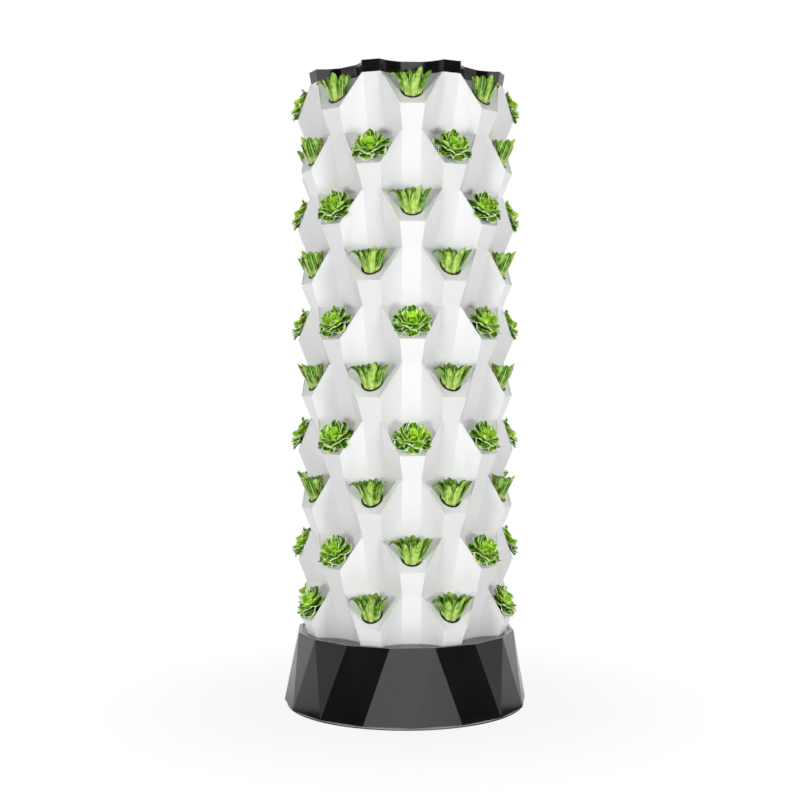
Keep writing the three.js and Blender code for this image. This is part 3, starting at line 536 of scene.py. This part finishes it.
def headOutline():  # only the edges round a tier's head
    bm = shellSurface()
    head = set(loopEdges(atLevel(bm, tierShell["pitch"])))
    bmesh.ops.delete(bm, geom=bm.faces[:], context="FACES_ONLY")
    bmesh.ops.delete(bm, geom=[edge for edge in bm.edges if edge not in head], context="EDGES")
    return bm


def makeTiers():
    sizes = tierShell
    bm = shellSurface(withHoles=True)
    roundEdges(bm, creases(bm, sizes["creaseAngle"], sizes["shortestCrease"]), sizes["edgeRound"])
    surface = newMesh("tierSurface", bm)
    for number in tierNumbers:
        shell = addPiece(tierName("tierShell", number), stamped(surface, [tierPlace(number)]), ["whiteShell"],
                         "tower", [tierName("tier", number)])
        addWall(shell, sizes["wall"])
    print("tiers:", stack["tiers"])


deck = dict(bore=0.2441, wall=0.003, collarRise=0.010, inset=0.0025, drop=0.0002, sides=64)


def makeDecks():  # the plate inside each tier's head, with the collar that the next tier slips over
    bm = headOutline()
    for vert in bm.verts:
        vert.co -= outward(vert) * deck["inset"]
    inner = loopEdges(ring(bm, deck["bore"] + deck["wall"], 0, tierShell["pitch"], deck["sides"]))
    bmesh.ops.triangle_fill(bm, use_beauty=True, use_dissolve=False, edges=bm.edges[:], normal=(0, 0, 1))
    drawOn(bm, inner, Matrix.Translation((0, 0, deck["collarRise"])))
    bmesh.ops.recalc_face_normals(bm, faces=bm.faces)
    if sum(face.normal.z for face in bm.faces) < 0:
        bmesh.ops.reverse_faces(bm, faces=bm.faces)
    bmesh.ops.translate(bm, verts=bm.verts, vec=(0, 0, -deck["drop"]))
    plate = newMesh("tierDeck", bm)
    for number in tierNumbers:
        bm = stamped(plate, [tierPlace(number)])
        addWall(addPiece(tierName("tierDeck", number), bm, ["whiteShell"], "tower"), deck["wall"])


edgeBead = dict(radius=0.0015, sides=8, startShare=0.01, endShare=0.985, smooth=80.0)


def addBar(bm, first, second, radius, sides):
    run = second - first
    turn = Vector((0, 0, 1)).rotation_difference(run).to_matrix().to_4x4()
    bmesh.ops.create_cone(bm, cap_ends=True, segments=sides, radius1=radius, radius2=radius,
                          depth=run.length, matrix=Matrix.Translation((first + second) / 2) @ turn)


def makeEdgeBeads():  # the rounded bead along both slanted edges of each opening
    sizes = tierShell
    bm = bmesh.new()
    for side in (-1, 1):
        low = polar(sizes["lipRadius"], side * sizes["lipHalf"], 0, sizes["lipHeight"])
        high = polar(sizes["landRadius"], -side * sizes["landHalf"], side * sector / 2, sizes["pitch"])
        addBar(bm, low.lerp(high, edgeBead["startShare"]), low.lerp(high, edgeBead["endShare"]),
               edgeBead["radius"], edgeBead["sides"])
    beads = newMesh("edgeBead", bm)
    for number in tierNumbers:
        bm = stamped(beads, [tierPlace(number) @ pocketTurn(pocket) for pocket in range(stack["pockets"])])
        addPiece(tierName("tierBeads", number), bm, ["whiteShell"], "tower",
                 smooth=edgeBead["smooth"])


makeTiers()
makeDecks()
makeEdgeBeads()


# Net cups.

netCup = dict(rim=0.033, rimThickness=0.0025, mouth=0.0295, foot=0.022, depth=0.056, wall=0.0016,
              edge=0.0006, sides=32, rows=8, slotRows=(1, 2, 4, 5, 6), slotEvery=4, slotColumns=(1, 2))


def makeCupMesh():
    sizes = netCup
    depth, sides, rows = sizes["depth"], sizes["sides"], sizes["rows"]
    bm = bmesh.new()
    bmesh.ops.create_cone(bm, cap_ends=True, segments=sides, radius1=sizes["foot"], radius2=sizes["mouth"],
                          depth=depth, matrix=Matrix.Translation((0, 0, -depth / 2)))
    lid = [face for face in bm.faces if all(vert.co.z > -oneLevel for vert in face.verts)]
    bmesh.ops.delete(bm, geom=lid, context="FACES_ONLY")
    upright = [edge for edge in bm.edges if abs(edge.verts[0].co.z - edge.verts[1].co.z) > oneLevel]
    bmesh.ops.subdivide_edges(bm, edges=upright, cuts=rows - 1, use_grid_fill=True)
    slots = []
    for face in bm.faces:
        middle = face.calc_center_median()
        row = int(-middle.z / depth * rows)
        column = int(math.atan2(middle.y, middle.x) / math.tau * sides % sides) % sizes["slotEvery"]
        if len(face.verts) == 4 and row in sizes["slotRows"] and column in sizes["slotColumns"]:
            slots.append(face)
    bmesh.ops.delete(bm, geom=slots, context="FACES")
    bmesh.ops.recalc_face_normals(bm, faces=bm.faces)
    bmesh.ops.solidify(bm, geom=bm.faces[:], thickness=sizes["wall"])
    low, high = stack["seatGap"], stack["seatGap"] + sizes["rimThickness"]
    inner, rim, edge = sizes["mouth"] - sizes["wall"], sizes["rim"], sizes["edge"]
    lathe(bm, [(inner, low - edge), (rim - edge, low), (rim, low + edge), (rim, high - edge),
               (rim - edge, high), (inner + edge, high), (inner, high - edge)], sides)
    return newMesh("netCup", bm)


def makeCups():
    cupMesh = makeCupMesh()
    for number in tierNumbers:
        place = tierPlace(number)
        others = stamped(cupMesh, [place @ pocketTurn(pocket) @ cupFrame
                                   for pocket in range(1, stack["pockets"])])
        addPiece(tierName("netCups", number), others, ["cupPlastic"], "tower")
        own = stamped(cupMesh, [place @ cupFrame])
        addPiece(tierName("netCup", number), own, ["cupPlastic"], tierName("cup", number),
                 [tierName("net_cup", number)])
    print("net cups:", stack["tiers"] * stack["pockets"])


makeCups()


# Lettuces. Each leaf: bearing round the stem (0 towards the viewer, 90 to the right), lean at its foot
# and at its tip, length and width in mm, and tone from young to old. The inner leaves come last.

romaine = dict(
    seed=11, foot=(0.0, -0.003, -0.002), forward=16.0, stem=0.0272, layer=0.0035, innerLeaves=6,
    innerStem=0.013, across=4, along=12, neck=0.70, tip=0.50, bend=5.0, point=1.9,
    cupping=0.50, ruffle=0.035, waves=2.0, jag=0.04, sway=0.10, mirroredFrom=0.5,
    leaves=[
        (-86, 21, 185, 74, 26, 0.66), (-62, 15, 18, 68, 25, 1.00), (-42, 12, 14, 71, 24, 0.34),
        (-18, 7, 9, 78, 24, 0.90), (8, 7, 12, 70, 20, 0.04), (31, 15, 19, 89, 28, 0.30),
        (58, 23, 27, 80, 32, 1.00), (82, 27, 31, 70, 26, 0.34), (106, 25, 34, 58, 26, 0.80),
        (140, 22, 30, 45, 27, 0.55), (168, 16, 24, 44, 27, 0.70), (-160, 18, 26, 44, 27, 0.60),
        (-132, 24, 32, 45, 27, 0.75), (-106, 24, 32, 55, 25, 0.60),
        (0, 6, 8, 52, 24, 0.40), (70, 10, 12, 48, 24, 0.25), (142, 8, 12, 42, 24, 0.30),
        (-142, 8, 12, 42, 24, 0.35), (-70, 10, 12, 48, 24, 0.20), (30, 2, -6, 38, 20, 0.05),
    ],
)
rosette = dict(
    seed=23, foot=(0.000, -0.005, 0.004), forward=38.0, stem=0.007, layer=0.0, innerLeaves=0,
    innerStem=0.0, across=6, along=9, neck=0.36, tip=0.60, bend=2.2, point=2.4,
    cupping=0.30, ruffle=0.085, waves=2.2, jag=0.05, sway=0.16, mirroredFrom=0.1,
    leaves=[
        (-8, 84, 114, 47, 56, 0.78), (50, 80, 108, 56, 54, 0.92), (-56, 80, 108, 56, 56, 1.00),
        (98, 70, 92, 58, 52, 0.82), (-104, 70, 92, 58, 50, 0.95), (150, 50, 58, 54, 44, 0.90),
        (-150, 46, 54, 54, 44, 1.00),
        (20, 62, 84, 46, 56, 0.40), (-44, 58, 76, 48, 58, 0.48), (84, 50, 62, 56, 54, 0.30),
        (-98, 44, 54, 54, 54, 0.42), (140, 32, 36, 53, 46, 0.36), (178, 22, 20, 60, 34, 0.95),
        (-140, 30, 34, 51, 46, 0.40),
        (-10, 38, 44, 35, 44, 0.18), (70, 34, 34, 39, 42, 0.12), (-82, 30, 28, 39, 42, 0.20),
        (150, 20, 14, 38, 34, 0.16), (-150, 18, 10, 38, 30, 0.26),
        (20, 4, -34, 26, 26, 0.0), (-100, 4, -34, 25, 26, 0.0), (140, 2, -36, 25, 24, 0.03),
    ],
)
lettuceKinds = dict(romaine=romaine, rosette=rosette)
leafSheet = dict(thickness=0.0009, spineSteps=24, rowCrowding=1.35, foldPower=1.7, frillAtFoot=0.3,
                 jagWaves=1.7, jagSlant=2.0, toneSpread=0.06, tipLeast=0.02, tipPower=0.6, smooth=180.0)


def bladeWidth(kind, share):  # how wide a leaf is along its length, of its full width
    swell = kind["neck"] + (1 - kind["neck"]) * math.sin(math.pi / 2 * min(1.0, share / kind["tip"]))
    end = max(0.0, share - kind["tip"]) / (1 - kind["tip"])
    return swell * max(leafSheet["tipLeast"], 1 - end ** kind["point"]) ** leafSheet["tipPower"]


def leafSpine(kind, leanFoot, leanTip, length):  # outward, upward and lean at even steps from foot to tip
    steps = leafSheet["spineSteps"]
    spine = [(0.0, 0.0, math.radians(leanFoot))]
    for step in range(steps):
        share = (step + 0.5) / steps
        lean = math.radians(leanFoot + (leanTip - leanFoot) * share ** kind["bend"])
        out, up, _ = spine[-1]
        spine.append((out + math.sin(lean) * length / steps, up + math.cos(lean) * length / steps, lean))
    return spine


def addLeaf(bm, kind, index, dice, tones):
    sheet = leafSheet
    bearing, leanFoot, leanTip, length, width, tone = kind["leaves"][index]
    start, firstFace = len(bm.verts), len(bm.faces)
    bmesh.ops.create_grid(bm, x_segments=kind["across"], y_segments=kind["along"], size=0.5, calc_uvs=True)
    bm.verts.ensure_lookup_table()
    bm.faces.ensure_lookup_table()
    length, width = length / 1000, width / 1000
    phase, sway = dice.uniform(0, math.tau), dice.uniform(-1, 1) * kind["sway"]
    spine = leafSpine(kind, leanFoot, leanTip, length)
    for vert in bm.verts[start:]:
        side, share = 2 * vert.co.x, 1 - (0.5 - vert.co.y) ** sheet["rowCrowding"]
        out, up, lean = spine[round(share * sheet["spineSteps"])]
        wave = kind["waves"] * math.tau * share + phase
        jagged = 1 + kind["jag"] * math.sin(sheet["jagWaves"] * wave + sheet["jagSlant"] * side)
        half = width / 2 * bladeWidth(kind, share) * jagged
        fold = kind["cupping"] * half * abs(side) ** sheet["foldPower"]
        frill = kind["ruffle"] * width * side * abs(side) * math.sin(wave)
        raised = fold + frill * (sheet["frillAtFoot"] + (1 - sheet["frillAtFoot"]) * share)
        vert.co = Vector((side * half + sway * width * share ** 2, raised * math.cos(lean) - out,
                          up + raised * math.sin(lean)))
    for face in bm.faces[firstFace:]:
        face[tones] = min(1.0, max(0.0, tone + dice.uniform(-sheet["toneSpread"], sheet["toneSpread"])))
    turn = Matrix.Rotation(math.radians(bearing), 4, "Z")
    rimTilt = Matrix.Rotation(math.pi / 2 - cupTilt - math.radians(kind["forward"]), 4, "X")
    isInner = index >= len(kind["leaves"]) - kind["innerLeaves"]
    stem = kind["innerStem"] if isInner else kind["stem"]
    foot = rimTilt @ turn @ Vector((0, kind["layer"] * (index % 2) - stem, 0))
    moveNew(bm, start, Matrix.Translation(foot) @ turn)


def makeHead(name, kind, mirrored):
    dice = random.Random(kind["seed"])
    bm = bmesh.new()
    bm.loops.layers.uv.verify()
    tones = bm.faces.layers.float.new("leafTone")
    for index in range(len(kind["leaves"])):
        addLeaf(bm, kind, index, dice, tones)
    stand = Matrix.Translation(seatCentre + cupAxes @ Vector(kind["foot"]))
    stand = stand @ Matrix.Rotation(math.radians(kind["forward"]), 4, "X")
    bmesh.ops.transform(bm, matrix=stand, verts=bm.verts)
    if mirrored:
        bmesh.ops.scale(bm, vec=(-1, 1, 1), verts=bm.verts)
        bmesh.ops.reverse_faces(bm, faces=bm.faces)
    return newMesh(name, bm)


heads = {(name, mirrored): makeHead(f"{name}{int(mirrored)}", kind, mirrored)
         for name, kind in lettuceKinds.items() for mirrored in (False, True)}

growPlug = dict(radius=0.0262, top=-0.003, dome=0.002, shoulderShares=(0.6, 0.7), depth=0.044, foot=0.0205,
                sides=24)


def makePlugMesh():
    radius, top, dome, depth = growPlug["radius"], growPlug["top"], growPlug["dome"], growPlug["depth"]
    widthShare, heightShare = growPlug["shoulderShares"]
    bm = bmesh.new()
    lathe(bm, [(0, top + dome), (radius * widthShare, top + dome * heightShare), (radius, top),
               (growPlug["foot"], -depth), (0, -depth)], growPlug["sides"])
    return newMesh("growPlug", bm)


plugMesh = makePlugMesh()

planting = {  # the kind in each pocket by its distance from the front, the tiers from the bottom up
    1: "romaine rosette", 2: "romaine rosette rosette", 3: "romaine romaine",
    4: "rosette rosette rosette", 5: "romaine romaine", 6: "rosette rosette rosette",
    7: "romaine romaine", 8: "romaine rosette rosette", 9: "rosette romaine",
    10: "romaine romaine rosette",
}
planted = dict(seed=5, smallest=0.96, largest=1.03, twist=7.0)


def kindAt(number, azimuth):
    kinds = planting[number].split()
    place = round((abs(azimuth) - tierTurn(number)) / sector)
    if place < len(kinds):
        return kinds[place]
    return kinds[(place + number) % len(kinds)]


def plantPocket(bm, plugs, number, pocket, dice):
    azimuth = (pocket * sector + tierTurn(number) + math.pi) % math.tau - math.pi
    kindName = kindAt(number, azimuth)
    mirrored = azimuth > lettuceKinds[kindName]["mirroredFrom"]
    size = dice.uniform(planted["smallest"], planted["largest"])
    twist = Matrix.Rotation(math.radians(dice.uniform(-planted["twist"], planted["twist"])), 4, "Z")
    own = Matrix.Translation(seatCentre) @ twist @ Matrix.Scale(size, 4) @ Matrix.Translation(-seatCentre)
    place = tierPlace(number) @ pocketTurn(pocket)
    firstFace = len(bm.faces)
    stamp(bm, heads[kindName, mirrored], place @ own)
    bm.faces.ensure_lookup_table()
    for face in bm.faces[firstFace:]:
        face.material_index = list(lettuceKinds).index(kindName)
    stamp(plugs, plugMesh, place @ cupFrame)


def plantPockets(number, pockets, body, name, plugName, dice, replaced=()):
    bm = bmesh.new()
    plugs = bmesh.new()
    for pocket in pockets:
        plantPocket(bm, plugs, number, pocket, dice)
    piece = addPiece(name, bm, ["romaineLeaf", "rosetteLeaf"], body, replaced, leafSheet["smooth"])
    addModifier(piece, "SOLIDIFY", thickness=leafSheet["thickness"], offset=0.0)
    addPiece(tierName(plugName, number), plugs, ["growFoam"], body)


def makeLettuces():
    dice = random.Random(planted["seed"])
    for number in tierNumbers:
        others = range(1, stack["pockets"])
        plantPockets(number, others, "tower", tierName("lettuces", number), "growPlugs", dice)
        own = tierName("lettuce", number)
        plantPockets(number, [0], tierName("cup", number), own + "_head", "growPlug", dice, [own])
    print("lettuces:", stack["tiers"] * stack["pockets"])


makeLettuces()


# Tank.

tank = dict(sides=16, footRadius=0.379, rimRadius=0.340, footZ=0.008, rimZ=0.231, wall=0.004,
            ledge=0.012, drop=0.0055, shelf=0.014, edge=0.0009, creaseAngle=4.0)


def makeTank():
    sizes = tank
    bm = bmesh.new()
    foot = loopEdges(ring(bm, sizes["footRadius"], 0, sizes["footZ"], sizes["sides"]))
    bmesh.ops.contextual_create(bm, geom=foot)
    rise = Matrix.Translation((0, 0, sizes["rimZ"] - sizes["footZ"]))
    rise = rise @ Matrix.Rotation(math.pi / sizes["sides"], 4, "Z")
    rim, skirt = drawOn(bm, foot, rise @ widen(sizes["footRadius"], sizes["rimRadius"]))
    bmesh.ops.triangulate(bm, faces=skirt, quad_method="SHORT_EDGE")
    ledgeRadius = sizes["rimRadius"] - sizes["ledge"]
    ledge, _ = drawOn(bm, rim, widen(sizes["rimRadius"], ledgeRadius))
    step, _ = drawOn(bm, ledge, Matrix.Translation((0, 0, -sizes["drop"])))
    drawOn(bm, step, widen(ledgeRadius, ledgeRadius - sizes["shelf"]))
    bmesh.ops.recalc_face_normals(bm, faces=bm.faces)
    roundEdges(bm, creases(bm, sizes["creaseAngle"]), sizes["edge"])
    addWall(addPiece("tankSkirt", bm, ["blackShell"], "tower", ["tank"]), sizes["wall"])


makeTank()
print("tank done")


# Cover, and the well in it that takes the bottom tier's foot.

cover = dict(topZ=0.229, floorZ=0.209, thickness=0.0035, outer=0.327, play=0.001, opening=0.228,
             openingSides=64)


def makeCover():
    topZ, floorZ = cover["topZ"], cover["floorZ"]
    bm = shellSurface()
    bmesh.ops.bisect_plane(bm, geom=bm.verts[:] + bm.edges[:] + bm.faces[:], plane_co=(0, 0, topZ - floorZ),
                           plane_no=(0, 0, 1), clear_outer=True)
    for vert in bm.verts:
        vert.co += outward(vert) * cover["play"]
    bmesh.ops.reverse_faces(bm, faces=bm.faces)
    place = Matrix.Translation((0, 0, floorZ)) @ Matrix.Rotation(sector / 2, 4, "Z")
    bmesh.ops.transform(bm, matrix=place, verts=bm.verts)
    top, low = atLevel(bm, topZ), atLevel(bm, floorZ)
    outer = ring(bm, cover["outer"], math.pi / tank["sides"], topZ, tank["sides"])
    inner = ring(bm, cover["opening"], 0, floorZ, cover["openingSides"])
    for first, second in ((top, outer), (low, inner)):
        bmesh.ops.triangle_fill(bm, use_beauty=True, use_dissolve=False,
                                edges=loopEdges(first) + loopEdges(second), normal=(0, 0, 1))
    weld(bm)
    addWall(addPiece("tankCover", bm, ["greyCover"], "tower", ["tank_cover"]), cover["thickness"])


makeCover()


# Foot plate, with a painted highlight on its sloped upper edge.

footPlate = dict(radius=0.371, height=0.0077, edge=0.0042, flat=0.0035, chamfer=0.001, sides=128,
                 highlightSlopes=(0.1, 0.95))


def makeFootPlate():
    radius, top, chamfer = footPlate["radius"], footPlate["height"], footPlate["chamfer"]
    bm = bmesh.new()
    lathe(bm, [(0, 0), (radius - chamfer, 0), (radius, chamfer), (radius, footPlate["flat"]),
               (radius - footPlate["edge"], top), (0, top)], footPlate["sides"])
    # faces that slope upward and outward take the grey finish: a painted highlight along the plate's upper
    # edge
    least, most = footPlate["highlightSlopes"]
    for face in bm.faces:
        if least < face.normal.z < most:
            face.material_index = 1
    addPiece("footDisc", bm, ["blackShell", "paintedHighlightGrey"], "tower", ["foot_plate"])


makeFootPlate()
print("cover and foot done")


# Cap.

fluteCap = dict(height=0.035, flare=0.0065, wall=0.003, edge=0.0012, creaseAngle=14.0, smooth=35.0)


def makeCap():
    bm = headOutline()
    made = bmesh.ops.extrude_edge_only(bm, edges=bm.edges[:])["geom"]
    rise = Vector((0, 0, fluteCap["height"] - stack["seatGap"]))
    for vert in pick(made, bmesh.types.BMVert):
        vert.co += outward(vert) * fluteCap["flare"] + rise
    bmesh.ops.contextual_create(bm, geom=pick(made, bmesh.types.BMEdge))
    lift = Matrix.Translation((0, 0, stack["seatGap"]))
    bmesh.ops.transform(bm, matrix=tierPlace(stack["tiers"]) @ lift, verts=bm.verts)
    bmesh.ops.recalc_face_normals(bm, faces=bm.faces)
    roundEdges(bm, creases(bm, fluteCap["creaseAngle"]), fluteCap["edge"])
    shell = addPiece("flutedCap", bm, ["blackShell"], "cap", ["top_cap"], smooth=fluteCap["smooth"])
    addWall(shell, fluteCap["wall"])


makeCap()
print("cap done")


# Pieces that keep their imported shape.

keptFinish = dict(
    cable_grommet="softRubber", filler_cap="blackShell", drain_plug="blackShell", drain_seal="softRubber",
    drain_nut="blackShell", pump_body="pumpPlastic", pump_cover="pumpPlastic", pump_strainer="pumpPlastic",
    pump_impeller="bladePlastic", pump_shaft="groundSteel", riser_sleeve="pumpPlastic",
    riser_lower="palePipe", riser_coupler="palePipe", riser_upper="palePipe", drip_tray="greyCover",
    spray_head="greyCover",
)
keptEdge = dict(width=0.0005, segments=2, angle=35.0)


def finishKept():
    for name, finish in keptFinish.items():
        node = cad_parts[name]
        node.data.materials.clear()
        node.data.materials.append(finishes[finish])
        addModifier(node, "WELD", merge_threshold=onePoint)
        addModifier(node, "BEVEL", width=keptEdge["width"], segments=keptEdge["segments"],
                    limit_method="ANGLE", angle_limit=math.radians(keptEdge["angle"]))
    print("kept pieces:", len(keptFinish))


finishKept()


# Floor, surroundings, lamps and camera. A mirrored ring is a list of brightnesses, each with its share of
# the way from the front to the rear.

studio = dict(
    floorSize=40.0, floorColour=(0.86, 0.86, 0.86), floorRoughness=0.9, fadeFrom=0.45, fadeTo=1.05,
    floorGlow=0.88, horizon=0.06, zenith=0.50, ceilingSpan=(0.35, 0.65), mirrorTop=0.35, topSpan=(0.45, 0.8),
    mirroredSky=((0.15, 1.0), (0.20, 0.02), (0.41, 0.02), (0.467, 0.36), (0.62, 0.45), (0.75, 0.85)),
    mirroredFloor=((0.13, 0.95), (0.18, 0.0), (0.41, 0.0), (0.467, 0.48), (0.62, 0.64), (0.75, 0.85)),
    lamps=dict(frontLeft=(140.0, (-3.5, -4.5, 0.7)), frontRight=(142.0, (3.5, -4.5, 0.7)),
               rearLeft=(120.0, (-3.5, 4.5, 0.9)), rearRight=(120.0, (3.5, 4.5, 0.9))),
    lampSize=1.3, aimHeight=1.1,
)


def makeStudioRing(name):  # what the object mirrors: a lit front, dark flanks, a lit rear and a dimmer top
    group, enter, leave = newGroup(name, [("Direction", "Vector", (0, 0, 0))], [("Brightness", "Float")])
    x, y, z = splitVector(group, enter.outputs["Direction"])
    bearing = mathNode(group, "ABSOLUTE", mathNode(group, "ARCTAN2", x, times(group, y, -1.0)))
    ramp = addNode(group, "ShaderNodeValToRGB", None, {0: mathNode(group, "DIVIDE", bearing, math.pi)})
    stops = ramp.color_ramp.elements
    stops[0].color = stops[1].color = (1, 1, 1, 1)
    for position, value in studio[name]:
        stops.new(position).color = (value, value, value, 1)
    high = stretch(group, z, *studio["topSpan"], 0.0, 1.0, smooth=True)
    mixed = mixColour(group, high, ramp.outputs[0], (studio["mirrorTop"],) * 3 + (1,))
    return closeGroup(group, leave, {"Brightness": mixed})


groups["mirroredSky"] = makeStudioRing("mirroredSky")
groups["mirroredFloor"] = makeStudioRing("mirroredFloor")


def makeFloor():  # white, with a soft shade near the tower
    bm = bmesh.new()
    bmesh.ops.create_grid(bm, x_segments=1, y_segments=1, size=studio["floorSize"] / 2)
    mesh = newMesh("studioFloor", bm)
    floor = newObject("studioFloor", mesh)
    material, tree, shader = newMaterial("studioFloor")
    mesh.materials.append(material)
    shader.inputs["Base Color"].default_value = (*studio["floorColour"], 1)
    shader.inputs["Roughness"].default_value = studio["floorRoughness"]
    shader.inputs["Specular IOR Level"].default_value = 0.0
    place = addNode(tree, "ShaderNodeTexCoord").outputs["Object"]
    away = addNode(tree, "ShaderNodeVectorMath", {"operation": "LENGTH"}, {0: place}).outputs["Value"]
    fade = stretch(tree, away, studio["fadeFrom"], studio["fadeTo"], studio["floorGlow"], 1.0, smooth=True)
    mirrored = useGroup(tree, "mirroredFloor", {0: place})[0]
    path = addNode(tree, "ShaderNodeLightPath").outputs
    glow = mixColour(tree, path["Is Glossy Ray"], (1, 1, 1, 1), mirrored)
    seen = mathNode(tree, "MAXIMUM", path["Is Camera Ray"], path["Is Glossy Ray"])
    white = addNode(tree, "ShaderNodeEmission", None, {"Color": glow, "Strength": 1.0})
    blend = addNode(tree, "ShaderNodeMixShader", None,
                    {0: times(tree, fade, seen), 1: shader.outputs[0], 2: white.outputs[0]})
    tree.links.new(blend.outputs[0], tree.nodes["Material Output"].inputs["Surface"])


def makeWorld():  # white to the eye; a dim horizon and a soft ceiling to the object
    world = bpy.data.worlds.new("studioWorld")
    bpy.context.scene.world = world
    world.use_nodes = True
    tree = world.node_tree
    direction = addNode(tree, "ShaderNodeTexCoord").outputs["Generated"]
    height = splitVector(tree, direction)["Z"]
    soft = stretch(tree, height, *studio["ceilingSpan"], studio["horizon"], studio["zenith"], smooth=True)
    mirrored = useGroup(tree, "mirroredSky", {0: direction})[0]
    path = addNode(tree, "ShaderNodeLightPath").outputs
    lit = mixColour(tree, path["Is Glossy Ray"], soft, mirrored)
    seen = mixColour(tree, path["Is Camera Ray"], lit, (1, 1, 1, 1))
    tree.links.new(seen, tree.nodes["Background"].inputs["Color"])


def makeLamps():
    for name, (power, place) in studio["lamps"].items():
        data = bpy.data.lights.new(f"{name}Softbox", "AREA")
        data.energy, data.size = power, studio["lampSize"]
        lamp = newObject(f"{name}Softbox", data)
        lamp.location = place
        aim = Vector((0, 0, studio["aimHeight"])) - lamp.location
        lamp.rotation_euler = aim.to_track_quat("-Z", "Y").to_euler()
        lamp.visible_camera = False
        lamp.visible_glossy = False


camera = dict(distance=4.2762, azimuth=-3.59, height=1.026, pitch=1.0687, aside=0.225, lens=61.32,
              sensor=36.0)


def makeCamera():
    data = bpy.data.cameras.new("photoCamera")
    data.lens, data.sensor_width = camera["lens"], camera["sensor"]
    eye = newObject("photoCamera", data)
    azimuth = math.radians(camera["azimuth"])
    eye.location = polar(camera["distance"], 0, azimuth, camera["height"])
    eye.rotation_euler = (math.radians(90 - camera["pitch"]), 0, azimuth + math.radians(camera["aside"]))
    bpy.context.scene.camera = eye


makeFloor()
makeWorld()
makeLamps()
makeCamera()
bpy.context.scene.view_settings.view_transform = "Standard"
print("studio done")
